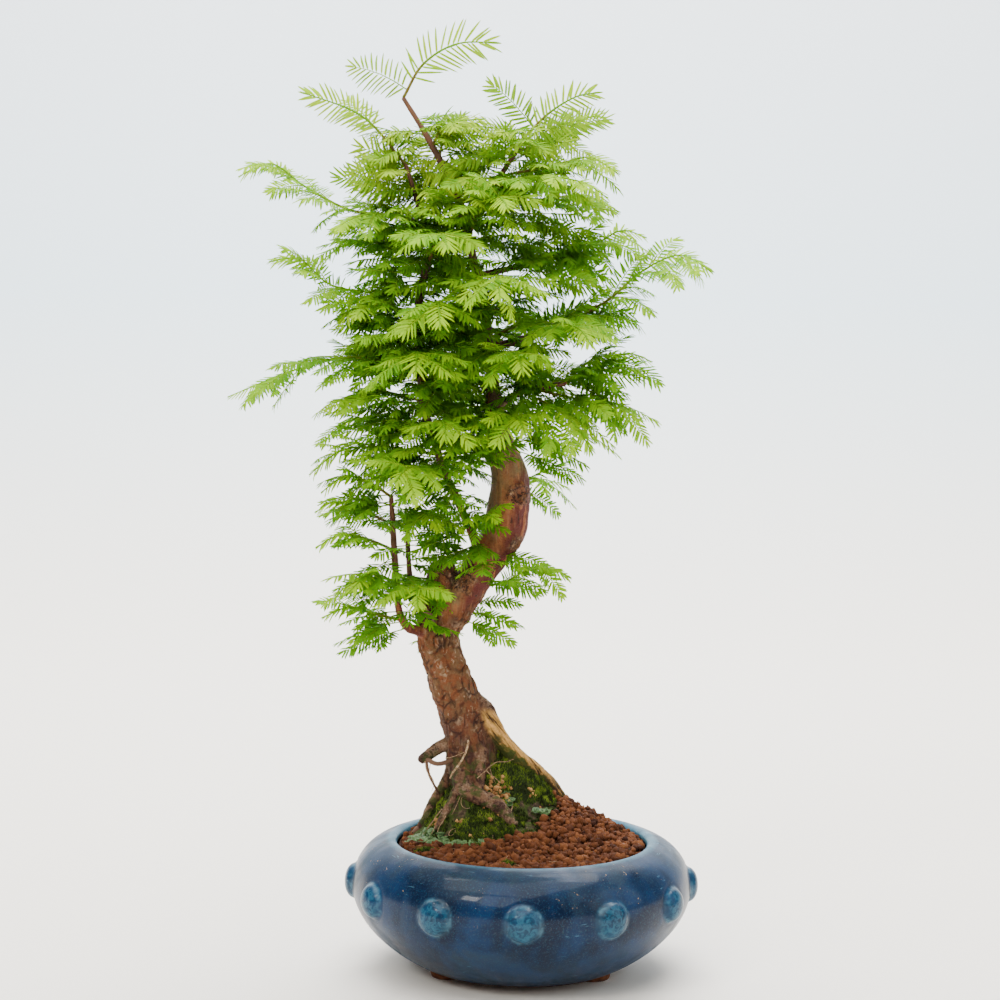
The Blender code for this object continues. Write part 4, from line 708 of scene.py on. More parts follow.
class WoodLooks(bpy.types.PropertyGroup):
    voxel: length("Wood grid", "Spacing of the points on the trunk and the stout roots", 0.94)
    crack: length("Crack depth", "Depth of the cracks in the old bark", 1.3)
    old_bark: colour("Old bark", "Grey-brown of the old bark", (0.16, 0.08, 0.036))
    red_bark: colour("Red bark", "Reddish layer under the flakes", (0.19, 0.062, 0.024))
    plate: colour("Bark plates", "Pale faces of the flakes", (0.36, 0.24, 0.15))
    deep: colour("Cracks", "Colour deep in the cracks", (0.022, 0.011, 0.008))
    young: colour("Young bark", "Orange-brown of the smooth young bark", (0.3, 0.1, 0.035))
    olive: colour("Weathered young bark", "Olive cast on the lit side", (0.2, 0.135, 0.06))
    maroon: colour("Shaded young bark", "Maroon of the shaded side", (0.1, 0.018, 0.013))
    dead: colour("Dead wood", "Bleached wood of the dead root", (0.62, 0.33, 0.09))
    twig: colour("Twigs", "Red-brown of the thin stems", (0.16, 0.062, 0.03))


class LeafLooks(bpy.types.PropertyGroup):
    width: length("Needle width", "Full width of a needle", 1.75)
    pitch: length("Frond pitch", "Distance along a shoot between two fronds", 5.8)
    seed: IntProperty(name="Seed", description="Picks another scatter of the fronds and needles", default=5)
    shade: colour("Inner green", "Colour of the oldest needles inside the crown", (0.03, 0.112, 0.01))
    green: colour("Green", "Colour of the full-grown needles", (0.15, 0.37, 0.014))
    lime: colour("Lime", "Colour of the newest needles", (0.44, 0.68, 0.012))
    bronze: colour("Bronze", "Colour of the sunlit needles at the apex", (0.52, 0.64, 0.03))
    glow: colour("Light through", "Colour of light that passes through a needle", (0.34, 0.68, 0.012))


class StageLooks(bpy.types.PropertyGroup):
    floor: colour("Floor", "Colour of the floor", (0.92, 0.87, 0.79))
    sky: colour("Backdrop", "Colour of the backdrop at its middle height", (0.72, 0.84, 0.9))
    key: power("Overhead light", "Power of the large light above", 88.0)
    window: power("Window light", "Power of the small front light", 17.0)
    fill: power("Fill light", "Power of the two weaker soft lights", 12.0)
    front: power("Front light", "Power of the broad light behind the viewer", 26.0)
    back: power("Backdrop light", "Power of the light on the backdrop", 200.0)


# Pot


def belly_radius(height, inset=0.0):
    """The pot's radius at a height: a quarter oval above the belly and a slimmer one below it."""
    height = np.asarray(height, float)
    above = height > BELLY_HEIGHT
    rise = (height - BELLY_HEIGHT) / np.where(above, SHOULDER_RISE, KEEL_DROP)
    bend = np.where(above, SHOULDER_BEND, KEEL_BEND)
    across = np.sqrt(np.maximum(0.0, 1.0 - rise * rise)) ** bend
    return BELLY_CORE + (BELLY_RADIUS - BELLY_CORE) * across - inset


def pot_section():
    """Radius and height round the wall's section: up the outside, over the lip, down the inside,
    across the floor, down the drain and back under the base. Also how many rows lie outside."""
    heights = np.concatenate([
        np.linspace(FOOT_HEIGHT + 0.02, 12.0, 6)[:-1],
        np.linspace(12.0, 38.0, 10)[:-1],
        np.linspace(38.0, 67.0, 38)[:-1],
        np.linspace(67.0, 79.6, 13),
    ])
    outside = np.stack([belly_radius(heights), heights], axis=1)
    lip = [(83.0, 80.1), (81.9, 80.4), (80.7, 80.5), (79.5, 80.35), (78.5, 79.9), (77.7, 79.2),
           (77.2, 78.2), (77.0, 76.9), (77.6, 75.4), (80.5, 73.8)]
    inner = np.array([70.5, 67.0, 60.0, 52.5, 40.0, 30.0, 20.0, 15.0])
    inside = np.stack([belly_radius(inner, POT_WALL), inner], axis=1)
    floor = [(70.0, FLOOR_TOP + 0.6), (64.0, FLOOR_TOP), (30.0, FLOOR_TOP), (DRAIN_RADIUS + 0.8, FLOOR_TOP),
             (DRAIN_RADIUS, FLOOR_TOP - 0.8), (DRAIN_RADIUS, FOOT_HEIGHT + 0.6),
             (DRAIN_RADIUS + 0.6, FOOT_HEIGHT), (35.0, FOOT_HEIGHT), (56.0, FOOT_HEIGHT)]
    return np.vstack([outside, lip, inside, floor]), len(heights)


def stud_relief(angle, run, looks):
    """Height of the studs over the belly: each is a dome with a steep edge, a faint collar round it
    and a shallow hollow outside that. The distance from its middle is measured over the surface."""
    step = 2 * math.pi / STUD_COUNT
    turn = (angle - STUD_FIRST + step / 2) % step - step / 2
    number = np.round((angle - STUD_FIRST) / step) % STUD_COUNT
    radius = looks.stud_radius / MM * (1 + 0.035 * np.sin(number * 2.3))
    away = np.hypot(turn * BELLY_RADIUS * (1 + 0.03 * np.sin(number * 1.7)), run) / radius
    dome = (1 - np.clip(away, 0, 1) ** 2.5) ** 0.6
    collar = 0.3 * np.exp(-(((away - 1.05) / 0.06) ** 2)) - 0.25 * np.exp(-(((away - 1.2) / 0.09) ** 2))
    return dome * looks.stud_rise / MM + collar, dome, away


def pot_shape(looks):
    """The bowl: its section carried round the axis, a hand-made waver of the wall, and the studs
    raised square to the belly. Then the three feet, each a low round block with a soft edge."""
    section, outer = pot_section()
    angle = ring_angles(POT_COLUMNS)
    c, s = np.cos(angle), np.sin(angle)
    ahead = np.roll(section, -1, axis=0) - np.roll(section, 1, axis=0)
    out = unit(np.stack([ahead[:, 1], -ahead[:, 0]], axis=1))
    run = lengths_along(section[:outer])
    run -= np.interp(STUD_HEIGHT, section[:outer, 1], run)
    rise = np.zeros((len(section), POT_COLUMNS))
    dome = np.zeros_like(rise)
    away = np.full_like(rise, 9.0)
    rise[:outer], dome[:outer], away[:outer] = stud_relief(angle[None], run[:, None], looks)
    radius = section[:, :1] + rise * out[:, :1]
    points = xyz(radius * c, radius * s, section[:, 1:] + rise * out[:, 1:])
    waver = np.zeros_like(rise)
    waver[: outer + 6] = 0.35 * layered(points[: outer + 6], 34.0, 2, 3)
    waver[:3] = 0.0
    points[..., 0] += waver * c
    points[..., 1] += waver * s
    lip_rows = np.arange(outer - 1, outer + 8)
    lip = np.zeros_like(rise)
    lip[lip_rows] = np.interp(lip_rows, (outer - 1, outer + 1, outer + 8), (0, 0.6, 1))[:, None]
    bare = np.zeros_like(rise)
    bare[outer + 18 :] = 1.0
    bare[0] = 0.7
    shape = Shape()
    shape.add(
        points, [grid_faces(len(section), POT_COLUMNS, wrap_rows=True)],
        stud=dome, ring=np.exp(-(((away - 1.0) / 0.12) ** 2)), lip=lip, bare=bare,
    )
    turn = ring_angles(FOOT_SIDES)
    for degrees in FOOT_ANGLES:
        x, y = (FOOT_RING * part for part in cos_sin(degrees))
        rings = []
        for share, z in ((0.86, 0.0), (0.91, 0.35), (0.94, 1.1), (1.0, FOOT_HEIGHT), (1.0, FOOT_HEIGHT + 2)):
            r = FOOT_RADIUS * share
            rings.append(xyz(x + r * np.cos(turn), y + r * np.sin(turn), z))
        stack(shape, rings, (x, y, 0.0), (x, y, FOOT_HEIGHT + 2), bare=1.0)
    return shape


def glaze_finish(looks):
    """Deep blue glaze that thins to turquoise on the studs and to a pale line on every edge, with a
    painted grey-blue sheen of reflected light on the shoulder and the keel, fine speckle, scratches,
    and dirt in patches."""
    glaze = Finish("blue glaze", Roughness=0.3, Specular_IOR_Level=0.1, Coat_Roughness=0.08, IOR=1.45)
    band, height = glaze.band, glaze.height()
    cloud = glaze.noise(34, 4, warp=0.6)
    runs = glaze.noise(9, 3, stretch=(1, 1, 0.18))
    speckle = glaze.noise(1.4, 3)
    shoulder = band(height, 0.06, 0.08)
    keel = 1 - band(height, 0.012, 0.04)
    # Painted reflection: a grey-blue sheen on the shoulder and the keel, which also makes the glaze rougher
    # and its coat thinner there.
    painted_sheen = (0.7 * shoulder + 0.7 * keel) * band(glaze.noise(20, 4, warp=1.0), 0.25, 0.75)
    dull = band(glaze.noise(26, 3, warp=0.8), 0.5, 0.72)
    stud = glaze.value("stud")
    mottle = band(glaze.noise(3.0, 4, warp=1.0) + 0.3 * speckle, 0.52, 0.76)
    low = 1 - band(height, 0.043, 0.056)
    front = band(height, 0.044, 0.07) * band(glaze.noise(30, 2), 0.46, 0.62)
    dirt = band(glaze.noise(2.4, 3, warp=1.5), 0.69, 0.74) * front
    scratch = band(glaze.noise(6, 2, stretch=(0.3, 0.3, 3.0), warp=2.5), 0.67, 0.7)
    scratch = scratch * band(glaze.noise(22, 2), 0.55, 0.64)
    bare = glaze.value("bare")
    clay = glaze.ramp(glaze.noise(3, 4), (0.3, times(looks.clay, 0.6)), (0.7, times(looks.clay, 1.5)))
    body = glaze.coats(
        glaze.blend(band(cloud + 0.35 * runs - 0.17, 0.36, 0.66), looks.deep, looks.middle),
        (painted_sheen * 0.7, looks.sheen_and_speckle),
        (dull * 0.5, (0.022, 0.036, 0.05)),
        (band(stud, 0.1, 0.9) * (0.15 + 0.35 * low + 0.5 * mottle), looks.stud),
        (band(stud, 0.2, 1.0) * mottle * 0.16, looks.edge),
        (glaze.value("ring") * (0.1 + 0.4 * band(glaze.noise(6, 2), 0.4, 0.65)), looks.edge),
        (glaze.value("lip") * (0.3 + 0.7 * runs), looks.edge),
        (band(speckle, 0.54, 0.68) * 0.55, looks.sheen_and_speckle),
        (band(glaze.noise(0.8, 2), 0.56, 0.68) * 0.35, looks.stud),
        (dirt * 0.85, (0.42, 0.27, 0.13)),
        (scratch * 0.35, looks.edge),
        (bare, clay),
    )
    rough = 0.26 + 0.3 * painted_sheen + 0.35 * dirt + 0.2 * dull + 0.1 * cloud
    glaze.link(Base_Color=body, Roughness=rough + bare * 0.5, Coat_Weight=(0.18 - 0.12 * painted_sheen) * (1 - bare))
    pits = band(glaze.noise(1.1, 2), 0.66, 0.74)
    relief = 0.25 * glaze.noise(5, 3) + 0.1 * speckle - 0.35 * pits + 0.3 * dirt + 0.25 * bare * speckle
    glaze.bump(relief, 0.5, 0.6)
    return glaze.material


class BonsaiPot(bpy.types.Operator):
    """Makes the drum pot with its studs, its lip and its feet"""

    bl_idname = "bonsai.pot"
    bl_label = "Pot"

    def execute(self, context):
        looks = context.scene.bonsai_pot
        placed(pot_shape(looks), "drum_pot", glaze_finish(looks), "blue_glaze", "pot")
        return {"FINISHED"}


class BonsaiDrain(bpy.types.Operator):
    """Finishes the plastic mesh over the drain hole and the wire that holds it"""

    bl_idname = "bonsai.drain"
    bl_label = "Drain mesh and clip"

    def execute(self, context):
        plastic = Finish("black plastic mesh", Roughness=0.55)
        weave = plastic.noise(1.2, 3)
        stops = ((0.3, (0.012, 0.012, 0.012)), (0.7, (0.035, 0.033, 0.03)))
        plastic.link(Base_Color=plastic.ramp(weave, *stops))
        plastic.bump(weave, 0.2)
        wire = Finish("bare wire", Roughness=0.35, Metallic=1.0)
        drawn = wire.noise(1.5, 3, stretch=(1, 1, 0.2))
        wire.link(Base_Color=wire.ramp(drawn, (0.3, (0.4, 0.39, 0.37)), (0.7, (0.66, 0.65, 0.62))))
        wire.link(Roughness=0.2 + 0.4 * drawn)
        for node, finish in (("drain_mesh", plastic), ("mesh_clip", wire)):
            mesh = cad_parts[node].data
            mesh.materials.clear()
            mesh.materials.append(finish.material)
        return {"FINISHED"}


# Soil and root ball


def hill(x, y, peak, left, right, front, back):
    """A hill from 0 to 1 that falls off as a bell curve, with a spread of its own on each side."""
    across = np.where(x < peak[0], left, right)
    along = np.where(y < peak[1], front, back)
    return np.exp(-((x - peak[0]) ** 2 / (2 * across**2) + (y - peak[1]) ** 2 / (2 * along**2)))


def soil_top(x, y):
    """The soil's height: a low hill towards the back that levels out before it meets the rim."""
    fade = np.clip((OPENING_RADIUS - np.hypot(x, y)) / SOIL_FADE, 0.0, 1.0)
    return SOIL_EDGE + SOIL_RISE * hill(x, y, SOIL_PEAK, *SOIL_SPREAD) * fade * (2.0 - fade)


def mound_top(x, y):
    """The root ball's height: a steep mound under the trunk and a lower bank behind its right side."""
    mound = MOUND_RISE * hill(x, y, MOUND_PEAK, *MOUND_SPREAD)
    bank = BANK_RISE * hill(x, y, BANK_PEAK, *BANK_SPREAD)
    return np.maximum(MOUND_BASE + mound + bank, soil_top(x, y) - 1.0)


def in_ball(x, y):
    """Distance from the root ball's axis as a share of its oval: below 1 is inside."""
    return np.hypot((x - BALL_CENTRE[0]) / BALL_HALF[0], (y - BALL_CENTRE[1]) / BALL_HALF[1])


def ball_place(share, angle):
    """The place at a share of the root ball's oval and at an angle."""
    x = BALL_CENTRE[0] + BALL_HALF[0] * share * np.cos(angle)
    return x, BALL_CENTRE[1] + BALL_HALF[1] * share * np.sin(angle)


def ground(x, y):
    """The height of what lies on top: the root ball's inside its oval, the soil's outside it."""
    return np.where(in_ball(x, y) < 1.0, mound_top(x, y), soil_top(x, y))


def new_soil_share(x, y):
    """1 where fresh clay grains cover the ground and 0 where the old mossy ball is bare: outside the
    ball, and over its right-hand foot up to a wandering edge."""
    wander = 4.0 * noise(xyz(x, y), 14.0, 5)
    right = smooth_step(x + wander + 0.34 * (y - 10.0), 1.0, 7.0)
    low = smooth_step(88.0 + 0.5 * wander - mound_top(x, y) + 0.28 * np.clip(x, 0, 60), -2.0, 3.0)
    front = smooth_step(-y - 21.0 + 0.35 * (x + 25.0) + 0.6 * wander, -1.0, 3.0)
    outside = smooth_step(in_ball(x, y), 0.93, 0.99)
    return np.maximum.reduce([outside, right * low, front])


def rounded_block():
    """A unit cube whose faces are two by two, its points moved towards a sphere: 24 quads."""
    steps = (-1.0, 0.0, 1.0)
    points = [(x, y, z) for x in steps for y in steps for z in steps if (x, y, z) != (0.0, 0.0, 0.0)]
    number = {point: i for i, point in enumerate(points)}
    faces = []
    for axis, side, a, b in np.ndindex(3, 2, 2, 2):
        corners = []
        for u, v in ((a, b), (a + 1, b), (a + 1, b + 1), (a, b + 1)):
            corner = [u - 1.0, v - 1.0]
            corner.insert(axis, 2.0 * side - 1.0)
            corners.append(number[tuple(corner)])
        faces.append(corners if (side > 0) != (axis == 1) else corners[::-1])
    points = np.array(points)
    return 0.55 * unit(points) + 0.38 * points, np.array(faces)


def plain_block():
    """The corners of a cube and the middles of its faces, pulled halfway to a sphere: 24 triangles."""
    block, _ = rounded_block()
    axes = np.sort(np.abs(block), axis=1)
    points = block[(axes[:, 1] < 0.1) | (axes[:, 0] > 0.1)]
    faces = []
    for middle in np.flatnonzero(np.sort(np.abs(points), axis=1)[:, 1] < 0.1):
        way = points[middle] / np.linalg.norm(points[middle])
        round_it = np.flatnonzero(points @ way > 0.4)
        corners = [i for i in round_it if i != middle]
        u = np.roll(way, 1)
        turn = np.arctan2(points[corners] @ np.cross(way, u), points[corners] @ u)
        corners = np.array(corners)[np.argsort(turn)]
        faces += [[middle, corners[i], corners[(i + 1) % 4]] for i in range(4)]
    return points, np.array(faces)


def lumps(shape, places, sizes, scatter, form, **values):
    """Grains: a block at each place, stretched along its own three axes, dented at each of its points
    by a scattered amount and turned to a scattered direction."""
    block, faces = form
    count = len(places)
    stretch = scatter.uniform(0.68, 1.18, (count, 1, 3))
    dent = scatter.uniform(0.72, 1.14, (count, len(block), 1))
    body = block[None] * stretch * dent * (sizes / 2)[:, None, None]
    turn = unit(scatter.normal(size=(count, 4)))
    w, x, y, z = turn.T
    matrix = np.stack([
        np.stack([1 - 2 * (y * y + z * z), 2 * (x * y - z * w), 2 * (x * z + y * w)], -1),
        np.stack([2 * (x * y + z * w), 1 - 2 * (x * x + z * z), 2 * (y * z - x * w)], -1),
        np.stack([2 * (x * z - y * w), 2 * (y * z + x * w), 1 - 2 * (x * x + y * y)], -1),
    ], 1)
    points = np.einsum("nij,nkj->nki", matrix, body) + places[:, None]
    values = {key: np.repeat(value, len(block)) for key, value in values.items()}
    shape.add(points, repeated([faces], count, len(block)), **values)


def scattered(scatter, half, pitch):
    """Places on a honeycomb with that pitch over a square, each moved by up to a third of it."""
    along = np.arange(-half, half, pitch * 0.87)
    x, y = np.meshgrid(np.arange(-half, half, pitch), along)
    x = (x + pitch / 2 * (np.arange(len(along)) % 2)[:, None]).ravel()
    stray = scatter.uniform(-0.33, 0.33, (2, x.size)) * pitch
    return x + stray[0], y.ravel() + stray[1]


def soil_shape(looks):
    """The filling: a bed that follows the pot's inside up to a rough top just under the grains, painted in
    the darkest grain colour as the shade in the gaps, and on it the clay grains, a coarse layer and a
    finer one that fills between them."""
    scatter = np.random.default_rng(11)
    shape = Shape()
    angle = ring_angles(SOIL_SIDES)
    c, s = np.cos(angle), np.sin(angle)
    rings = [xyz(radius * c, radius * s, z) for radius, z in SOIL_SECTION]
    for radius in np.linspace(SOIL_SECTION[-1][0], 3.0, 36):
        x, y = radius * c, radius * s
        sunk = 2.2 + 4.0 * smooth_step(1.0 - in_ball(x, y), 0.0, 0.1)
        rings.append(xyz(x, y, soil_top(x, y) - sunk + 0.8 * layered(xyz(x, y), 3.0, 2, 8)))
    # Painted shade: the bed takes the darkest grain colour so that the gaps between the grains read as shade.
    stack(shape, rings, (0, 0, SOIL_SECTION[0][1]), (0, 0, float(soil_top(0.0, 0.0)) - 6.0), tone=0.1)
    for layer, (share, sink, size) in enumerate(((1.0, 0.0, 1.0), (0.78, -1.5, 0.66))):
        x, y = scattered(scatter, 80.0, looks.pitch / MM * share)
        width = looks.grain / MM * size * np.clip(scatter.lognormal(0.0, 0.26, len(x)), 0.62, 1.6)
        inside = np.hypot(x, y) < 75.9 - width / 2
        keep = inside & (scatter.uniform(0, 0.7, len(x)) < new_soil_share(x, y))
        x, y, width = x[keep], y[keep], width[keep]
        z = ground(x, y) + sink + scatter.uniform(-1.1, 1.2, len(x)) * size - 0.4
        under_rim = np.hypot(x, y) > 66.0
        z = np.minimum(z, np.where(under_rim, 80.2 - width * 0.35, 200.0))
        tone = np.clip(scatter.normal(0.46, 0.17, len(x)) - 0.16 * layer, 0.02, 1.0)
        form = plain_block() if layer else rounded_block()
        lumps(shape, xyz(x, y, z), width, scatter, form, tone=tone)
    return shape


def soil_finish(looks):
    """Fired clay grains: a colour for each grain, blotched and dusty, with a porous skin."""
    clay = Finish("akadama grains", Roughness=0.92, Specular_IOR_Level=0.15)
    tone = clay.value("tone") + 0.45 * clay.noise(1.4, 4, roughness=0.65) - 0.22
    body = clay.ramp(tone, (0.08, looks.dark_grain_and_gap_shade), (0.5, looks.grain_colour), (0.95, looks.grain_light))
    clay.link(Base_Color=body, Roughness=0.8 + 0.18 * clay.noise(2.0, 2))
    clay.bump(clay.noise(1.1, 4, roughness=0.7), 1.0, 0.9)
    return clay.material


class BonsaiSoil(bpy.types.Operator):
    """Makes the bed of clay grains"""

    bl_idname = "bonsai.soil"
    bl_label = "Soil"

    def execute(self, context):
        looks = context.scene.bonsai_soil
        placed(soil_shape(looks), "clay_soil", soil_finish(looks), "akadama_soil", "soil")
        return {"FINISHED"}


CRUMBS = (
    # middle, spread, count
    (-18, 5, 5.5, 48), (-12, 8, 4.5, 24), (-23, 3, 3, 12), (-32, 3, 3, 4), (-50, 2, 5, 7), (-28, -20, 9, 8),
    (-56, -12, 5, 7), (6, 16, 8, 8), (-40, -10, 8, 5),
)


def root_ball_shape():
    """The old root ball: an oval plug whose top follows the mound with clods and hollows, and pale
    crumbs of clay lodged at the foot of the roots."""
    scatter = np.random.default_rng(23)
    shape = Shape()
    angle = ring_angles(BALL_SIDES)
    rings = []
    for share, z in ((0.6, BALL_BOTTOM), (0.96, BALL_BOTTOM + 6), (1.0, 64.0)):
        rings.append(xyz(*ball_place(share, angle), z))
    for share in np.linspace(1.0, 0.02, 56):
        x, y = ball_place(share, angle)
        top = mound_top(x, y) - 1.6 * smooth_step(share, 0.9, 1.0)
        place = xyz(x, y, top * 0.5)
        clods = 1.3 * layered(place, 9.0, 3, 4) + 0.7 * layered(place, 2.6, 2, 9)
        rings.append(xyz(x, y, top - 0.6 + clods))
    top = float(mound_top(*BALL_CENTRE)) - 0.6
    stack(shape, rings, (*BALL_CENTRE, BALL_BOTTOM), (*BALL_CENTRE, top), tone=0.0)
    for x0, y0, spread, count in CRUMBS:
        x = scatter.normal(x0, spread * 0.5, count)
        y = scatter.normal(y0, spread * 0.5, count)
        keep = in_ball(x, y) < 0.95
        x, y = x[keep], y[keep]
        width = scatter.uniform(1.3, 3.2, len(x))
        tone = scatter.uniform(0.45, 1.0, len(x))
        place = xyz(x, y, mound_top(x, y) + width * 0.25)
        lumps(shape, place, width, scatter, rounded_block(), tone=tone)
    return shape


def root_ball_finish(looks, moss):
    """Dark old soil with damp and dry clods and a film of moss in patches; the crumbs are pale clay."""
    old = Finish("old root ball", Roughness=0.95, Specular_IOR_Level=0.15)
    clods = old.noise(2.2, 4, roughness=0.65)
    tone = old.value("tone")
    film = old.band(old.noise(8, 4, warp=0.8) + 0.3 * clods, 0.55, 0.72)
    crumb = old.ramp(tone + 0.3 * clods - 0.1, (0.4, looks.grain_colour), (1.0, looks.crumb))
    soil = looks.old_soil
    body = old.coats(
        old.ramp(clods, (0.3, times(soil, 0.35)), (0.5, soil), (0.72, times(soil, 3.0))),
        (film * 0.85, old.blend(clods, moss.dark, moss.green)), (old.band(tone, 0.2, 0.3), crumb),
    )
    old.link(Base_Color=body, Roughness=0.85 + 0.12 * clods)
    old.bump(clods, 0.9, 0.9)
    return old.material


class BonsaiRootBall(bpy.types.Operator):
    """Makes the old root ball under the trunk"""

    bl_idname = "bonsai.root_ball"
    bl_label = "Root ball"

    def execute(self, context):
        looks = context.scene.bonsai_soil
        finish = root_ball_finish(looks, context.scene.bonsai_moss)
        placed(root_ball_shape(), "root_ball", finish, "root_ball", "root_mound")
        return {"FINISHED"}


# Moss and liverwort


def moss_leaves(shape, x, y, z, height, scatter, tone):
    """Moss leaves: each is a spike on a three-cornered foot, leaning a scattered way."""
    count = len(x)
    foot = xyz(x, y, z - 0.35 * height)
    lean = scatter.normal(0.0, 0.42, (count, 2)) * height[:, None]
    tip = foot + xyz(lean[:, 0], lean[:, 1], 1.35 * height)
    turn = scatter.uniform(0, 2 * math.pi, count)
    wide = scatter.uniform(0.24, 0.42, count)
    corners = [foot + xyz(wide * np.cos(turn + way), wide * np.sin(turn + way)) for way in ring_angles(3)]
    faces = np.array([[0, 1, 3], [1, 2, 3], [2, 0, 3], [0, 2, 1]])
    shape.add(
        np.stack([*corners, tip], axis=1), repeated([faces], count, 4), smooth=False,
        tone=np.repeat(tone, 4), tip=np.tile([0.0, 0.0, 0.0, 1.0], count),
    )


def oval(centre, half, turn, share, angle):
    """A place in an oval patch with a wavy edge, at a share of its size and at an angle."""
    c, s = cos_sin(turn)
    wavy = 1 + 0.1 * np.sin(3 * angle + centre[0]) + 0.05 * np.sin(7 * angle)
    u = half[0] * share * np.cos(angle) * wavy
    v = half[1] * share * np.sin(angle) * wavy
    return centre[0] + u * c - v * s, centre[1] + u * s + v * c


def cushion_height(share, thick, x, y):
    """A cushion's thickness: full in its middle, rounded to its edge, with small domes all over."""
    domes = np.abs(noise(xyz(x, y), 4.5, 6))
    return thick * (1 - share**3) * (0.62 + 0.6 * domes) - 0.6


def moss_shape(centre, half, turn, thick, surface, looks):
    """A moss cushion: a domed patch over its bed, covered with leaves that grow longer on its domes."""
    scatter = np.random.default_rng(int(abs(centre[0]) * 7 + abs(centre[1])))
    shape = Shape()
    angle = ring_angles(MOSS_SIDES)
    x, y = oval(centre, half, turn, 0.97, angle)
    rings = [xyz(x, y, surface(x, y) - 3.0)]
    for share in np.linspace(1.0, 0.04, 20):
        x, y = oval(centre, half, turn, share, angle)
        rings.append(xyz(x, y, surface(x, y) + cushion_height(share, thick, x, y)))
    middle = float(surface(*centre))
    stack(shape, rings, (*centre, middle - 3.0), (*centre, middle + 0.4 * thick), tone=0.15)
    count = int(math.pi * half[0] * half[1] * looks.density)
    share = np.sqrt(scatter.uniform(0, 1, count)) * 1.04
    x, y = oval(centre, half, turn, share, scatter.uniform(0, 2 * math.pi, count))
    z = surface(x, y) + cushion_height(np.minimum(share, 1.0), thick, x, y)
    height = looks.leaf / MM * scatter.uniform(0.55, 1.25, count)
    patch = noise(xyz(x, y, z), 7.0, 3)
    tone = np.clip(0.5 + 0.3 * patch + scatter.normal(0, 0.16, count), 0, 1)
    moss_leaves(shape, x, y, z, height, scatter, tone)
    return shape


def film_shape(looks):
    """The thin moss that grows all over the old root ball between the roots: leaves wherever a noise
    over the mound is high, raised on small domes, with bare dark hollows where a finer noise is near 0.
    Leaves low on the domes are painted darker as the shade of the hollows."""
    scatter = np.random.default_rng(31)
    shape = Shape()
    angle = scatter.uniform(0, 2 * math.pi, FILM_LEAVES)
    x, y = ball_place(np.sqrt(scatter.uniform(0, 1, FILM_LEAVES)) * 0.98, angle)
    z = mound_top(x, y)
    patch = layered(xyz(x, y, 0.5 * z), 13.0, 3, 17)
    dome = np.abs(noise(xyz(x, y, z), 5.2, 8))
    fresh = new_soil_share(x, y)
    keep = (patch > np.where(fresh > 0.02, -0.7, -0.08)) & (fresh < 0.6) & (dome > 0.05)
    for x0, y0, spread, _ in CRUMBS[:3]:
        keep &= np.hypot(x - x0, y - y0) > spread * scatter.uniform(0.6, 1.1, FILM_LEAVES)
    x, y, z, patch, dome = x[keep], y[keep], z[keep], patch[keep], dome[keep]
    height = looks.leaf / MM * scatter.uniform(0.5, 1.15, len(x))
    shade = 0.22 * smooth_step(x + 0.6 * y, -14, 14)
    # Painted shade: a leaf is darker the lower it sits on its dome, and the shade term darkens the right and
    # the back.
    tone = np.clip(0.02 + 1.15 * dome + 0.35 * patch - shade + scatter.normal(0, 0.13, len(x)), 0, 1)
    moss_leaves(shape, x, y, z - 0.4 + 2.6 * dome, height, scatter, tone)
    return shape


def moss_finish(looks):
    """Moss: painted shade makes it dark between the leaves and brighter to each leaf's tip, with fresher and
    older patches.
    """
    moss = Finish("moss", Roughness=0.85, Specular_IOR_Level=0.1)
    # Painted shade: the tip value brightens each leaf towards its tip, so its foot deep among the leaves
    # stays dark.
    tone = moss.value("tone") + 0.3 * moss.value("tip") + 0.3 * moss.noise(3, 3) - 0.15
    tone = tone - 0.45 * moss.band(moss.noise(8, 3, warp=0.8), 0.45, 0.62)
    body = moss.ramp(tone, (0.12, looks.dark), (0.5, looks.green), (0.95, looks.fresh))
    moss.link(Base_Color=body)
    moss.bump(moss.noise(0.7, 3), 0.4, 0.6)
    return moss.material


def lobe_parts(shape, places, radii, scatter):
    """Liverwort lobes: each is a thin lens whose rim is notched and turned up, tipped a scattered way."""
    count, sides = len(places), 9
    angle = ring_angles(sides)
    section = ((0.5, -0.3), (1.0, 0.16), (0.86, 0.2), (0.45, -0.05))
    notch = 1 + 0.16 * np.cos(angle[None] * 2 + scatter.uniform(0, 6, (count, 1)))
    notch = notch * scatter.uniform(0.88, 1.1, (count, sides))
    rings = []
    for share, z in section:
        r = share * notch * radii[:, None]
        rim = z * radii[:, None] * np.where(share > 0.8, scatter.uniform(0.6, 1.6, (count, sides)), 1.0)
        rings.append(xyz(r * np.cos(angle), r * np.sin(angle), rim))
    points = np.concatenate([
        xyz(0.0, 0.0, -0.35 * radii)[:, None],
        np.stack(rings, axis=1).reshape(count, -1, 3),
        xyz(0.0, 0.0, -0.12 * radii)[:, None],
    ], axis=1)
    up = unit(xyz(scatter.normal(0, 0.35, count), scatter.normal(-0.25, 0.3, count), 1.0))
    side = unit(np.cross(up, (0.3, 1.0, 0.1)))
    over = np.cross(up, side)
    axes = (side[:, None], over[:, None], up[:, None])
    points = points[..., :1] * axes[0] + points[..., 1:2] * axes[1] + points[..., 2:] * axes[2]
    points = points + (places + up)[:, None]
    tone = np.repeat(scatter.uniform(0, 1, count), points.shape[1])
    rim = np.tile(np.concatenate([[0.0], np.repeat((0.2, 1.0, 0.8, 0.25), sides), [0.0]]), count)
    shape.add(points, repeated(capped_faces(len(section), sides), count, points.shape[1]), tone=tone, rim=rim)


def liverwort_shape(patches):
    """Patches of liverwort: crowded lobes scattered over ovals of the mound."""
    scatter = np.random.default_rng(41)
    shape = Shape()
    for centre, half, turn, count in patches:
        share = np.sqrt(scatter.uniform(0, 1, count))
        x, y = oval(centre, half, turn, share, scatter.uniform(0, 2 * math.pi, count))
        lobe_parts(shape, xyz(x, y, ground(x, y)), scatter.uniform(1.5, 3.1, count), scatter)
    return shape


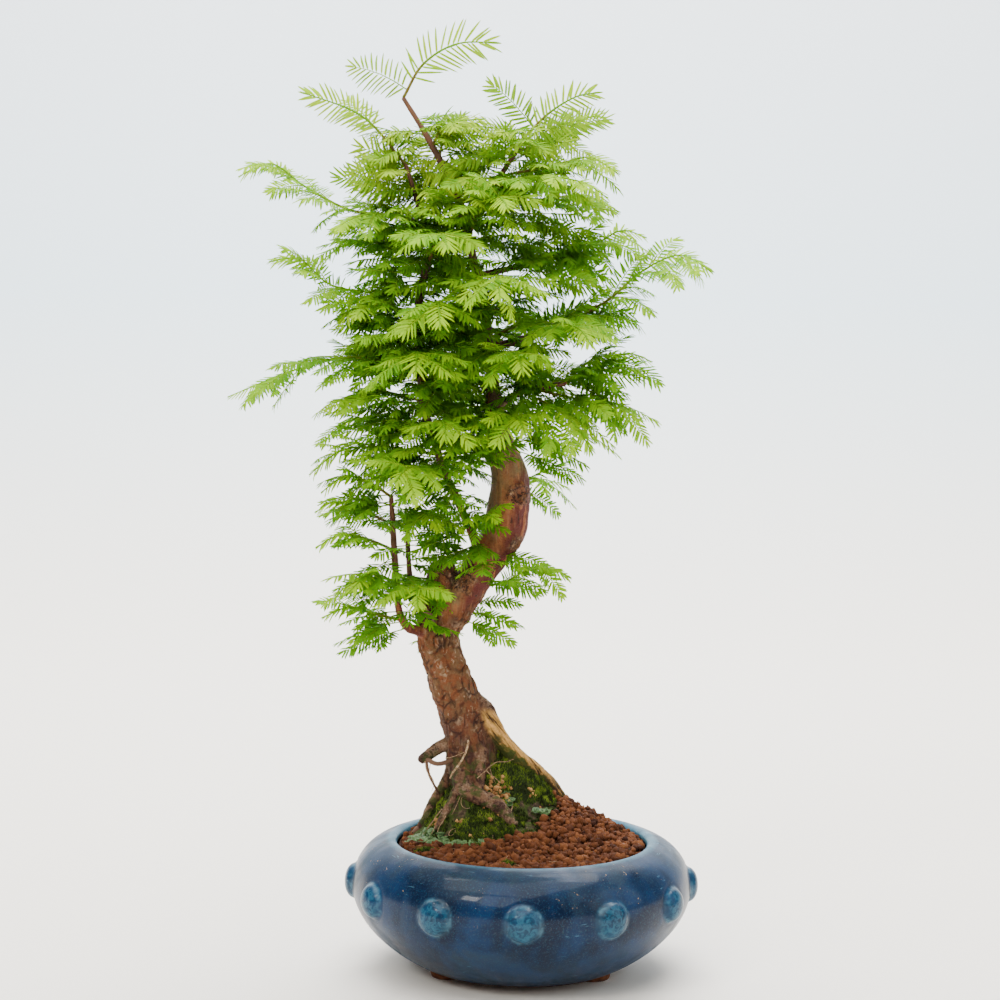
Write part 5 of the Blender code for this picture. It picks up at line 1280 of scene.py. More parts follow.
def liverwort_finish(looks):
    """Liverwort: blue-green lobes, paler at the rim, darker and greener in the cup, a little glossy."""
    lobes = Finish("liverwort", Roughness=0.5, Specular_IOR_Level=0.3)
    tone = 0.5 * lobes.value("rim") + 0.35 * lobes.value("tone") + 0.3 * lobes.noise(2, 3) - 0.1
    body = lobes.ramp(tone, (0.1, (0.03, 0.07, 0.03)), (0.5, looks.lobe), (1.0, times(looks.lobe, 2.0)))
    lobes.link(Base_Color=body, Roughness=0.4 + 0.3 * lobes.noise(1.5, 2))
    lobes.bump(lobes.noise(0.8, 3), 0.3, 0.5)
    return lobes.material


class BonsaiMoss(bpy.types.Operator):
    """Makes the four moss growths and the thin moss on the root ball"""

    bl_idname = "bonsai.moss"
    bl_label = "Moss"

    def execute(self, context):
        looks = context.scene.bonsai_moss
        finish = moss_finish(looks)
        for name, centre, half, turn, thick, bed in MOSSES:
            surface = {"mound": mound_top, "soil": soil_top}[bed]
            shape = moss_shape(centre, half, turn, thick, surface, looks)
            placed(shape, name + "_leaves", finish, "moss", name)
        placed(film_shape(looks), "moss_film", finish, "moss")
        return {"FINISHED"}


class BonsaiLiverwort(bpy.types.Operator):
    """Makes the liverwort beside the roots"""

    bl_idname = "bonsai.liverwort"
    bl_label = "Liverwort"

    def execute(self, context):
        looks = context.scene.bonsai_moss
        finish = liverwort_finish(looks)
        placed(liverwort_shape(LIVERWORT), "liverwort_patch", finish, "liverwort", "liverwort")
        placed(liverwort_shape(STRAYS), "liverwort_strays", finish, "liverwort")
        return {"FINISHED"}


# Wood


def split_rows(rows):
    """The rows of a stem as its stout part, as far as its radius stays over a limit, and its slim rest,
    which starts a little inside the stout part."""
    thin = np.nonzero(rows[:, 3] < STOUT)[0]
    end = thin[0] if len(thin) else len(rows)
    stout = rows[:end] if end > 3 else None
    slim = rows[max(0, end - 2) if stout is not None else 0:] if end < len(rows) else None
    return stout, slim


def fluted(points, rows):
    """Shallow flutes that run up the old bole and widen into its root flare: the distance of a point
    from the bole's middle line grows and shrinks as two sine waves of its angle, twisting upwards."""
    z = points[..., 2]
    middle = between(z, rows[:, 2], rows[:, :2])
    out = points[..., :2] - middle
    angle = np.arctan2(out[..., 1], out[..., 0])
    wave = np.sin(3 * angle + z / 21) + 0.6 * np.sin(5 * angle - z / 13)
    strength = np.interp(z, (90, 130, 200, 250), (0.09, 0.045, 0.02, 0.035))
    return np.concatenate([middle + out * (1 + strength * wave)[..., None], points[..., 2:]], axis=-1)


def fused(shape, voxel):
    """One skin round all the tubes of a shape, by a voxel remesh of their mesh: its points in
    millimetres and its faces and edges."""
    guide = linked("wood guide", shape.mesh("wood guide"))
    remesh = guide.modifiers.new("fuse", "REMESH")
    remesh.mode = "VOXEL"
    remesh.voxel_size = voxel
    bpy.context.view_layer.update()
    mesh = bpy.data.meshes.new_from_object(guide.evaluated_get(bpy.context.evaluated_depsgraph_get()))
    bpy.data.objects.remove(guide, do_unlink=True)
    points = np.empty(len(mesh.vertices) * 3)
    mesh.vertices.foreach_get("co", points)
    edges = np.empty(len(mesh.edges) * 2, np.int32)
    mesh.edges.foreach_get("vertices", edges)
    corners = np.empty(len(mesh.loops), np.int32)
    mesh.loops.foreach_get("vertex_index", corners)
    if len(corners) != 4 * len(mesh.polygons):
        raise RuntimeError("the fused wood isn't all quads")
    points = (points.reshape(-1, 3) - ORIGIN) / MM
    return points, corners.reshape(-1, 4).astype(int), edges.reshape(-1, 2)


def eased(points, edges, rounds):
    """Each point moved halfway to the mean of its neighbours, as many times as there are rounds."""
    count = len(points)
    both = np.concatenate([edges, edges[:, ::-1]])
    number = np.maximum(np.bincount(both[:, 0], minlength=count), 1)[:, None]
    for _ in range(rounds):
        total = [np.bincount(both[:, 0], weights=points[both[:, 1], i], minlength=count) for i in range(3)]
        points = 0.5 * points + 0.5 * np.stack(total, axis=1) / number
    return points


def outward(points, faces):
    """Unit normal at each point: the sum of the crossed diagonals of the faces round it."""
    cross = np.cross(points[faces[:, 2]] - points[faces[:, 0]], points[faces[:, 3]] - points[faces[:, 1]])
    total = np.zeros_like(points)
    for i in range(3):
        for j in range(faces.shape[1]):
            total[:, i] += np.bincount(faces[:, j], weights=cross[:, i], minlength=len(points))
    return unit(total)


def nearest_stem(points, stems):
    """For each point the number of the stem whose skin is nearest, and how far along it that is."""
    best = np.full(len(points), 1e9)
    which = np.zeros(len(points), int)
    spot = np.zeros(len(points))
    for number, rows in enumerate(stems):
        low, high = rows[:, :3].min(axis=0) - 25, rows[:, :3].max(axis=0) + 25
        near = np.nonzero(((points > low) & (points < high)).all(axis=1))[0]
        if not len(near):
            continue
        away = np.linalg.norm(points[near, None] - rows[None, :, :3], axis=2) - rows[None, :, 3]
        least = away.argmin(axis=1)
        found = away[np.arange(len(near)), least]
        closer = found < best[near]
        best[near[closer]] = found[closer]
        which[near[closer]] = number
        spot[near[closer]] = least[closer] / max(1, len(rows) - 1)
    return which, spot


def bark_relief(points, old, root, dead):
    """Height of the bark over the wood and what it shows. Old bark: cracks where a noise drawn out
    along the stem is near 0, flakes where a second noise steps up, low lumps and fine grit. Young
    bark: long low swellings and faint fibres. Dead wood: deep fibres along the root."""
    crack_field = layered(points * (1.0, 1.0, 0.45), 6.5, 3, 2)
    crack = (1 - smooth_step(np.abs(crack_field), 0.01, 0.09)) * smooth_step(noise(points, 17, 7), -0.5, 0.3)
    flake_field = layered(points * (1.0, 1.0, 0.7), 4.4, 3, 12)
    flake = smooth_step(flake_field, -0.02, 0.06) + 0.7 * smooth_step(flake_field, 0.25, 0.31)
    lump = noise(points, 13, 21)
    grit = noise(points, 1.9, 30)
    swell = noise(points * (1, 1, 0.55), 17, 40) + 0.4 * noise(points, 7, 41)
    fibre = noise(points * (1, 1, 0.16), 1.9, 50)
    crease = 1 - smooth_step(np.abs(noise(points * (0.35, 0.35, 1.0), 10, 60)), 0.0, 0.05)
    fold = noise(points * (1, 1, 0.22), 7.5, 99) * smooth_step(172 - points[:, 2], 0, 30)
    height_old = 0.62 * flake + 0.4 * lump + 0.28 * grit + 1.7 * fold
    height_young = 0.6 * swell + 0.15 * fibre + 0.12 * grit + 0.4 * noise(points * (1, 1, 0.3), 4.5, 51)
    rift = layered(points - np.outer(points @ DEAD_WAY, DEAD_WAY) * 0.93, 3.0, 3, 70)
    height_dead = 1.25 * rift + 0.25 * grit
    height_root = 0.35 * flake + 0.55 * lump + 0.25 * grit
    height = old * height_old + (1 - old) * height_young
    height = height * (1 - root) + root * height_root
    height = height * (1 - dead) + dead * height_dead
    show = crack * np.clip(old + 0.5 * root, 0, 1) * (1 - dead)
    plate = np.clip(flake / 1.7, 0, 1)
    return height, show, plate, np.clip(0.5 + 0.8 * rift, 0, 1), crease


KNOTS = (
    # middle, half sizes, depth of the pit, height of the rolled edge
    ((-5.0, -3.5, 293.5), (6.0, 7.0, 5.5), 1.8, 1.1),
    ((-2.0, -2.0, 262.0), (7.0, 7.0, 5.0), 0.8, 0.9),
    ((-39.0, 10.0, 243.0), (9.0, 9.0, 12.0), 0.6, 0.6),
)


def sores(points, height):
    """Three marks on the trunk: a knot with a pit and a rolled edge, a rough scar, and a healed ridge."""
    rough = np.zeros(len(points))
    for centre, size, pit, roll in KNOTS:
        away = np.linalg.norm((points - centre) / size, axis=1) * (1 + 0.18 * noise(points, 4.0, 80))
        height = height + roll * np.exp(-(((away - 1.0) / 0.3) ** 2)) - pit * np.exp(-((away / 0.5) ** 2))
        height = height + 0.7 * smooth_step(1.35 - away, 0, 0.3) * noise(points, 2.4, 81)
        rough = np.maximum(rough, smooth_step(1.45 - away, 0, 0.4))
    return height, rough


def wood_shapes(looks):
    """The wood: its stout stems and roots as swept tubes fused to one skin with bark relief, and its
    slim stems and rootlets as swept tubes with a waver of their radius."""
    guide, slim = Shape(), Shape()
    stems, names = [], []
    for name, table in {**STEMS, **ROOTS}.items():
        rows = smooth_rows(table, 2.5)
        stout, rest = split_rows(rows)
        if stout is not None:
            points, faces = sweep(stout[None, :, :3], stout[None, :, 3], STEM_SIDES)
            if name == "bole":
                points = fluted(points, rows)
            guide.add(points, faces)
            stems.append(stout)
            names.append(name)
        if rest is not None:
            place = rest[:, :3]
            radius = rest[:, 3] * (1 + 0.07 * noise(place, 6.0, 3) + 0.05 * noise(place, 2.2, 4))
            if name == "pale_root":
                place = place + 1.3 * three_noises(place, 9.0, 60)
                radius = radius * np.linspace(0.58, 0.42, len(radius))
            if stout is not None:
                radius[:2] *= 0.9
            points, faces = sweep(place[None], radius[None], TWIG_SIDES)
            slim.add(points, faces, dead=float(name in DEAD), root=float(name in ROOTS))
    points, faces, edges = fused(guide, looks.voxel)
    points = eased(points, edges, 3)
    which, spot = nearest_stem(points, stems)
    root = np.array([float(name in ROOTS) for name in names])[which]
    dead = np.array([float(name in DEAD) for name in names])[which]
    z = points[:, 2]
    on_trunk = which == names.index("trunk")
    on_bole = which == names.index("bole")
    wander = 9.0 * noise(points, 12, 90)
    old = np.where(on_bole, 1.0 - 0.25 * smooth_step(z + wander, 205, 235), 0.12)
    old = np.where(on_trunk, 1 - smooth_step(z + wander - 0.5 * (points[:, 0] + 40), 210, 228), old)
    dead = dead * np.where(root * spot > 0, 1.0, 0.0) * smooth_step(156 - z + 0.5 * wander, 0, 6)
    root, dead, old = eased(xyz(root, dead, old), edges, 5).T
    height, crack, plate, rift, crease = bark_relief(points, old, root, dead)
    height, rough = sores(points, height)
    height = height - looks.crack / MM * crack
    stout_share = np.array([rows[:, 3].max() for rows in stems])[which]
    size = np.clip(stout_share / 7.0, 0.3, 1.0)
    normal = outward(points, faces)
    if (normal * (points - points.mean(axis=0))).sum() < 0:
        faces = faces[:, ::-1]
        normal = -normal
    points = points + normal * (height * size)[:, None]
    lit = 0.5 - 0.5 * (normal @ unit(np.array([0.75, 0.1, -0.6])))
    # How far the skin faces down: the dead root's undersides get dark bark and painted shade, and more moss.
    under = smooth_step(-normal[:, 2] + 0.25 * noise(points, 5.0, 95), -0.05, 0.45)
    shape = Shape()
    shape.add(
        points, [faces], closed=False, old=old, root=root, dead=dead, crack=crack, plate=plate, rift=rift,
        crease=crease, rough=rough, lit=lit, under=under,
    )
    rootlets(slim)
    return shape, slim


THREAD_SPOTS = ((-60, 4), (-30, -4), (-12, 2), (24, 28), (34, 46), (-2, -60), (26, -66), (-44, -34))
THREADS = (
    # radius, then the places that the thread runs through
    (0.32, (-28, -2, 118), (-22, -1, 123), (-17, 0, 127), (-11, 3, 127.5), (-6, 8, 128)),
    (0.3, (-22, 0, 122), (-17, -2, 118), (-13, -2, 115)),
    (0.34, (-61, 13, 126), (-60, 10, 120), (-56, 9, 114), (-53, 10, 109)),
    (0.28, (-57, 12, 126), (-58, 9, 119), (-55, 8, 113), (-56, 9, 107)),
    (0.3, (-48, 8, 128), (-44, 2, 130), (-40, -1, 132), (-36, 1, 134)),
    (0.34, (17, 28, 93), (22, 27, 93.5), (27, 27, 91.5), (32, 29, 88)),
    (0.26, (20, 27, 93), (22, 24, 90), (27, 22, 87)),
    (0.36, (-36, -45, 77), (-32, -46, 78.5), (-27, -47, 77.5), (-22, -46, 75)),
    (0.4, (-50, 8, 96), (-56, 4, 88), (-62, 1, 80), (-67, 2, 75)),
    (0.34, (-47, -2, 94), (-52, -6, 85), (-54, -9, 77)),
)


def rootlets(shape):
    """Hair roots: the threads of the table, and scattered ones that leave the ground, arch a few
    millimetres and enter it again."""
    scatter = np.random.default_rng(53)
    for radius, *places in THREADS:
        path = smooth_rows(places, 1.6)
        path = path + 0.5 * three_noises(path, 4.0, 70)
        thin = radius * np.linspace(1.0, 0.55, len(path))
        points, faces = sweep(path[None], thin[None], 6)
        shape.add(points, faces, dead=0.55, root=1.0)
    count, steps = 26, 9
    share = np.linspace(0, 1, steps)
    middle = np.array(THREAD_SPOTS)[scatter.integers(0, len(THREAD_SPOTS), count)]
    middle = middle + scatter.normal(0, 6, (count, 2))
    heading = scatter.uniform(0, 2 * math.pi, count)
    reach = scatter.uniform(5, 14, count)
    bend = scatter.normal(0, 0.35, count)
    angle = heading[:, None] + bend[:, None] * (share - 0.5) * 3
    away = (share - 0.5) * reach[:, None]
    x = middle[:, :1] + away * np.cos(angle)
    y = middle[:, 1:] + away * np.sin(angle)
    keep = np.hypot(x, y).max(axis=1) < 74
    x, y, reach = x[keep], y[keep], reach[keep]
    arch = scatter.uniform(0.04, 0.14, len(x))[:, None] * reach[:, None] * np.sin(math.pi * share)
    radius = scatter.uniform(0.16, 0.3, len(x))[:, None] * np.ones(steps)
    points, faces = sweep(xyz(x, y, ground(x, y) + 0.3 + arch), radius, 5)
    shape.add(points, faces, dead=0.6, root=1.0)


def bark_finish(looks):
    """Bark: flaking grey-brown plates over a reddish layer with dark cracks below, smooth orange-brown
    skin with an olive cast on the lit side and maroon on the shaded side above, bleached fibres on
    the dead root, and purple-brown roots."""
    bark = Finish("bark", Roughness=0.85, Specular_IOR_Level=0.2)
    band, blend, value, height = bark.band, bark.blend, bark.value, bark.height()
    old_share, root_share, dead_share = value("old"), value("root"), value("dead")
    fine = bark.noise(1.3, 4, roughness=0.65)
    broad = bark.noise(16, 3, warp=0.5)
    middle = bark.noise(4.5, 4, warp=0.6)
    patchy = band(bark.noise(11, 2), 0.38, 0.56)
    seam = (1 - band(bark.cells(7.5, "DISTANCE_TO_EDGE", (1, 1, 0.6), 4.5), 0.015, 0.1)) * patchy
    scale = bark.cells(3.4, "SMOOTH_F1", (1, 1, 0.6), 2.5)
    pale = band(value("plate") + 0.7 * middle - 0.35, 0.5, 0.95)
    pale = pale * band(bark.noise(6, 3, warp=1.0), 0.44, 0.58)
    chip = band(bark.noise(2.4, 3, stretch=(1, 1, 0.5), warp=1.0), 0.63, 0.69)
    old = bark.coats(
        blend(band(middle + 0.4 * broad - 0.2, 0.4, 0.62), looks.old_bark, looks.red_bark),
        (pale * 0.7, looks.plate), (chip * 0.55, times(looks.plate, 1.4)), (seam * 0.75, looks.deep),
    )
    fibre = bark.noise(1.5, 4, stretch=(1, 1, 0.1), warp=0.4)
    streak = bark.noise(3.4, 3, stretch=(1, 1, 0.13), warp=0.3)
    lit, rough, rise = value("lit"), value("rough"), band(height, 0.27, 0.33)
    olive = 0.6 * bark.noise(20, 3, stretch=(1, 1, 0.5)) + 0.35 * streak + 0.25 * lit + 0.22 * rise
    split = band(bark.noise(2.6, 3, stretch=(1, 1, 0.12), warp=0.6), 0.66, 0.7) * patchy
    pit = rough * band(bark.noise(2.4, 4, warp=1.5), 0.5, 0.57)
    young = bark.coats(
        blend(band(lit + 0.5 * broad - 0.25 + 0.3 * streak - 0.15, 0.3, 0.62), looks.maroon, looks.young),
        (band(olive, 0.58, 0.78), looks.olive),
        (band(fibre, 0.56, 0.74) * (0.25 + 0.3 * rise), looks.plate),
        (band(fibre, 0.3, 0.42) * -0.45 + 0.45, looks.maroon),
        (band(streak, 0.57, 0.66) * 0.6, times(looks.young, 1.35)),
        (split * 0.8, looks.deep),
        (value("crease") * 0.3, looks.deep),
        (rough * (0.5 + 0.6 * middle), old),
        (pit * 0.85, looks.deep),
    )
    roots = bark.coats(
        blend(band(middle, 0.38, 0.6), (0.045, 0.02, 0.015), (0.19, 0.1, 0.055)),
        (band(broad + 0.5 * fine, 0.72, 0.95) * 0.7, looks.plate),
        (band(streak, 0.6, 0.7) * 0.6, (0.045, 0.02, 0.016)),
    )
    strand = bark.noise(1.1, 4, stretch=(1, 1, 0.07), turn=DEAD_TURN, warp=0.3)
    groove = bark.noise(3.2, 3, stretch=(1, 1, 0.09), turn=DEAD_TURN, warp=0.4)
    rift = 0.3 * value("rift") + 0.9 * strand + groove - 0.63
    under = value("under")
    moss = band(bark.noise(5, 3, warp=1.0) + 0.35 * under, 0.62, 0.72) * (1 - band(height, 0.13, 0.145))
    tail = (1 - band(height, 0.098, 0.124)) * band(groove + 0.3 * middle, 0.6, 0.7)
    bleached = ((0.41, times(looks.dead, 0.5)), (0.55, looks.dead), (0.78, times(looks.dead, 1.35)))
    dead = bark.coats(
        bark.ramp(rift, (0.27, (0.045, 0.024, 0.011)), *bleached),
        # Dark bark and painted shade: the dead root's downward faces are darkened in patches.
        (under * band(bark.noise(6, 3, warp=1.0), 0.3, 0.52) * 0.9, (0.04, 0.035, 0.012)),
        (moss * 0.8, (0.05, 0.08, 0.012)),
        (tail * 0.9, (0.06, 0.034, 0.02)),
    )
    shadow = (1 - band(height, 0.125, 0.175)) * old_share
    low = 1 - band(height, 0.118, 0.145)
    green = low * band(bark.noise(7, 3, warp=0.8), 0.47, 0.58) * (1 - dead_share * 0.7)
    body = bark.coats(
        blend(old_share, young, old),
        (root_share, roots),
        (dead_share, dead),
        (value("crack") * 0.9, looks.deep),
        (shadow * band(streak + 0.3 * middle, 0.55, 0.72) * 0.8, (0.035, 0.015, 0.013)),
        (shadow * 0.35, (0.06, 0.024, 0.02)),
        (green * 0.75, (0.035, 0.06, 0.01)),
    )
    smooth = (1 - old_share) * (1 - root_share) * 0.26
    body = blend(1.0, body, 0.45 + 0.95 * fine, "MULTIPLY")
    bark.link(Base_Color=body, Roughness=0.92 - smooth - 0.1 * fine)
    aged = old_share * (1 - dead_share)
    relief = fine + 0.6 * bark.noise(0.7, 3) + 0.6 * fibre * (1 - dead_share)
    relief = relief + (0.8 * scale - 0.9 * seam) * aged + (1.2 * strand + groove) * dead_share
    bark.bump(relief - 0.6 * split * (1 - aged) - 0.8 * pit, 0.85, 0.9)
    return bark.material


def twig_finish(looks):
    """Thin stems: red-brown skin, greyer in patches, with fine grain; hair roots are pale."""
    twig = Finish("twig bark", Roughness=0.8)
    band, blend = twig.band, twig.blend
    fine = twig.noise(1.2, 4)
    patch = twig.noise(11, 3, stretch=(1, 1, 0.5))
    body = twig.coats(
        blend(band(patch, 0.4, 0.65), looks.twig, times(looks.twig, 0.45)),
        (band(fine, 0.55, 0.75) * 0.4, looks.old_bark),
        (twig.value("root") * 0.8, blend(fine, (0.09, 0.045, 0.03), looks.old_bark)),
        (twig.value("dead"), blend(band(fine, 0.4, 0.62), (0.22, 0.12, 0.055), (0.56, 0.38, 0.21))),
    )
    twig.link(Base_Color=body, Roughness=0.7 + 0.2 * fine)
    twig.bump(fine, 0.3, 0.7)
    return twig.material


class BonsaiWood(bpy.types.Operator):
    """Makes the trunk, the roots, the limbs and the thin stems"""

    bl_idname = "bonsai.wood"
    bl_label = "Wood"

    def execute(self, context):
        looks = context.scene.bonsai_wood
        stout, slim = wood_shapes(looks)
        placed(stout, "trunk_and_roots", bark_finish(looks), "bark", "wood")
        placed(slim, "thin_stems", twig_finish(looks), "bark", "wood")
        return {"FINISHED"}


# Sprays


STEM_ROWS = {name: smooth_rows(rows, 12.0 if name in PITCHED else 25.0) for name, rows in STEMS.items()}


def stem_at(stem, height):
    """The point of a stem's middle line at a height, with its radius."""
    rows = STEM_ROWS[stem]
    return between(height, rows[:, 2], rows)


def turned(vector, degrees):
    """The vector turned about the vertical, anticlockwise seen from above."""
    c, s = cos_sin(degrees)
    x, y, z = vector
    return np.array([x * c - y * s, x * s + y * c, z])


def shoot_path(name, stem, height, points):
    """The shoot's middle line from the stem's axis to its tip, about every 2 mm."""
    base = stem_at(stem, height)[:3]
    turn = SPRAY_TURN.get(name, 0.0)
    moved = [base + turned(np.array(point, float) - base, turn) for point in points]
    return smooth_rows(np.vstack([[base], moved]), 2.0)


def point_at(path, distance):
    """The point of a path at a distance along it."""
    return between(distance, lengths_along(path), path)


def side_rib(path, spot, turn, lift, length, sag):
    """A side frond's rib: a straight line from the shoot, turned and lifted from its heading, that
    sags with the square of the distance."""
    root = point_at(path, spot)
    ahead = unit(point_at(path, spot + 8.0) - root)
    if np.linalg.norm(ahead) < 0.5:
        ahead = unit(path[-1] - path[-4])
    out, up = cos_sin(lift)
    way = turned(unit(np.array([ahead[0], ahead[1], 0.0])), turn) * out
    way[2] = up + 0.5 * ahead[2]
    rib = root + np.outer(RIB_SHARES * length, unit(way))
    rib[:, 2] -= sag * length * RIB_SHARES**2
    return rib


def frond(rib, needle, part, twist, facing, start=0.0):
    """One frond: its rib, the length of its needles, how far out in the crown it is from 0 to 1, the
    twist of its face, how much the face turns to the viewer, the share of the rib that is bare, and
    the distance between two needles of a side."""
    return {
        "rib": rib, "needle": needle, "part": part, "twist": twist, "facing": facing, "start": start,
        "step": np.clip(0.207 * needle, 1.9, 4.1),
    }


def fronds_of(spray, path, scatter, pitch):
    """Every frond of a spray. The CAD's fronds come first. The others leave the shoot on alternate
    sides between them, some of them higher or lower than the flat of the spray, longest where the
    shoot is half way out. Little shoots of three fronds leave the stem round the spray's foot."""
    name, stem, height, _, last, needle, facing, sides = spray
    total = lengths_along(path)[-1]
    end = total - END_SHARE * needle
    found = [frond(point_at(path, end - last + last * RIB_SHARES), needle, 1.0, 0.0, facing)]
    taken = []
    for spot, turn, lift, length in sides:
        rib = side_rib(path, spot * total + SIDE_START, turn, lift, length, 0.22)
        found.append(frond(rib, needle * 0.86, 0.3 + 0.7 * spot, scatter.normal(0, 6), facing))
        taken.append((spot * total + SIDE_START, turn > 0))
    if name in SPARSE:
        return found + stem_fronds(spray, scatter)
    left = bool(scatter.integers(0, 2))
    spot = stem_at(stem, height)[3] + 4.0 + scatter.uniform(0, 3)
    while spot < total - 0.55 * last:
        left = not left
        if all(abs(spot - other) > 4.5 or side != left for other, side in taken):
            part = spot / total
            swell = 0.62 + 0.3 * math.sin(math.pi * min(1.0, 0.15 + part))
            length = last * swell * scatter.uniform(0.8, 1.12)
            turn = scatter.normal(50, 9) * (1 if left else -1)
            lift = scatter.normal(3, 8) + scatter.choice((-22.0, 0.0, 0.0, 24.0))
            rib = side_rib(path, spot, turn, lift, length, scatter.uniform(0.12, 0.34))
            face = float(np.clip(facing + scatter.normal(0, 0.1), 0, 0.9))
            size = needle * scatter.uniform(0.76, 0.92)
            found.append(frond(rib, size, 0.2 + 0.7 * part, scatter.normal(0, 14), face))
        spot += pitch * scatter.uniform(0.8, 1.2)
    return found + stem_fronds(spray, scatter)


def stem_fronds(spray, scatter):
    """The little shoots round a spray's foot: each leaves the stem in its own direction, stays bare for
    a while and ends in a frond, with a shorter frond to either side of its middle."""
    name, stem, height, _, last, needle, facing, _ = spray
    low, high = STEM_ROWS[stem][0, 2], STEM_ROWS[stem][-1, 2]
    near = STEM_REACH.get(stem, 1.0)
    plan = list(LITTLE_SHOOTS.get(name, ()))
    bare_trunk = stem == "trunk" and height < 345
    count = 0 if name in SPARSE else 1 if bare_trunk else FILL.get(stem, 5)
    if height > AIRY_TOP:
        count = min(count, 6)
    heading = scatter.uniform(0, 360)
    for _ in range(count):
        heading += 360 / count + scatter.normal(0, 16)
        level = float(np.clip(height + scatter.uniform(-20, 18), low, high))
        bare = scatter.uniform(5, 24) * near
        lift = scatter.uniform(-14, 26)
        plan.append((level, heading, lift, bare, last * scatter.uniform(0.7, 0.95) * near))
    found = []
    for level, heading, lift, bare, length in plan:
        base = stem_at(stem, level)
        full = base[2] < AIRY_TOP
        whole = base[3] + bare + length
        out, up = cos_sin(lift)
        rib = base[:3] + np.outer(RIB_SHARES * whole, turned((out, 0.0, up), heading))
        rib[:, 2] -= scatter.uniform(0.14, 0.3) * length * RIB_SHARES**2
        face = float(np.clip(facing + scatter.normal(0, 0.12), 0, 0.8))
        size = max(9.5, needle) * scatter.uniform(0.78, 0.98)
        reach = (bare + length) / 72.0
        found.append(frond(rib, size, 0.5 * reach, scatter.normal(0, 16), face, 1 - length / whole))
        for side in (1, -1) if full or scatter.random() < 0.3 else (1,):
            spot = base[3] + bare * scatter.uniform(0.5, 1.1) + (2.0 if side > 0 else 6.0)
            turn = side * scatter.normal(48, 8) * (1 if full else scatter.choice((-1, 1)))
            twig = side_rib(rib, spot, turn, scatter.normal(0, 10), length * scatter.uniform(0.6, 0.85), 0.2)
            found.append(frond(twig, size * 0.85, 0.4 * reach, scatter.normal(0, 18), face))
    return found


def frond_frame(rib, facing, twist):
    """Unit vectors along a rib, across it and out of the frond's face, which is twisted about the rib."""
    along = unit(np.gradient(rib, axis=0))
    face = np.array([0.0, -facing - 0.15, 1.0 - facing])
    face = unit(face - (along @ face)[:, None] * along)
    across = np.cross(along, face)
    c, s = cos_sin(twist)
    return along, across * c - face * s, face * c + across * s


def needle_lines(one, scatter):
    """Foot, reach, face, droop and tone of all the needles of a frond. A needle is longest past the
    middle of the rib and leans further forward towards its tip, where one last needle points ahead."""
    rib, needle, start = one["rib"], one["needle"], one["start"]
    green = lengths_along(rib)[-1] * (1 - start)
    count = max(4, int(green * 0.95 / one["step"]))
    share = np.repeat((np.arange(count) + 0.5) / count, 2) * 0.95 + 0.04
    side = np.tile([1.0, -1.0], count)
    share = np.clip(share + side * 0.22 / count + scatter.normal(0, 0.1 / count, 2 * count), 0.02, 0.995)
    along, across, face = frond_frame(rib, one["facing"], one["twist"])
    where = start + (1 - start) * share
    spots = np.linspace(0.0, 1.0, len(rib))
    foot, ahead, out, up = (between(where, spots, rows) for rows in (rib, along, across, face))
    length = needle * (0.62 + 0.38 * np.sin(math.pi * np.clip(0.1 + 0.85 * share, 0, 1)))
    length = length * scatter.uniform(0.88, 1.08, 2 * count)
    lean = np.radians(np.interp(share, (0.0, 0.6, 1.0), (22.0, 34.0, 66.0)) + scatter.normal(0, 5, 2 * count))
    tip_up = scatter.normal(0, 0.1, 2 * count)
    way = out * (side * np.cos(lean))[:, None] + ahead * np.sin(lean)[:, None]
    way = unit(way + up * tip_up[:, None])
    foot = np.vstack([foot, rib[-1:]])
    reach = np.vstack([way * length[:, None], along[-1:] * needle * 0.5])
    face = np.vstack([up, face[-1:]])
    droop = np.append(scatter.uniform(0.14, 0.42, 2 * count) * length, 0.1 * needle)
    tone = 0.04 + 0.3 * np.append(share, 1.0) + 0.55 * one["part"]
    tone = tone + scatter.normal(0, 0.06, len(tone)) + scatter.normal(0, 0.07)
    return foot, reach, face, droop, np.clip(tone, 0, 1)


def blades(foot, reach, face, droop, width, stations):
    """Needles: each follows a curve of the second degree from its foot, out along its reach, to its
    drooped tip. Its section is a flat triangle whose width swells from the foot and runs to a point."""
    t = np.array(stations)[:, None]
    swell = np.sin(math.pi * np.clip(t[:, 0], 0.03, 0.97) ** 0.62) ** 0.4
    count = len(foot)
    first, middle = foot[:, None], (foot + 0.52 * reach)[:, None]
    tip = (foot + reach - face * droop[:, None])[:, None]
    line = (1 - t) ** 2 * first + 2 * t * (1 - t) * middle + t**2 * tip
    tangent = unit(2 * (1 - t) * (middle - first) + 2 * t * (tip - middle))
    side = unit(np.cross(tangent, face[:, None]))
    normal = np.cross(side, tangent)
    half = (width[:, None] / 2 * swell)[..., None]
    rings = np.stack([line - half * side, line + half * side, line - 0.45 * half * normal], axis=2)
    points = np.concatenate([first, rings.reshape(count, -1, 3), tip], axis=1)
    along = np.tile(np.concatenate([[0.0], np.repeat(stations, 3), [1.0]]), count)
    return points, repeated(capped_faces(len(stations), 3), count, 3 * len(stations) + 2), along


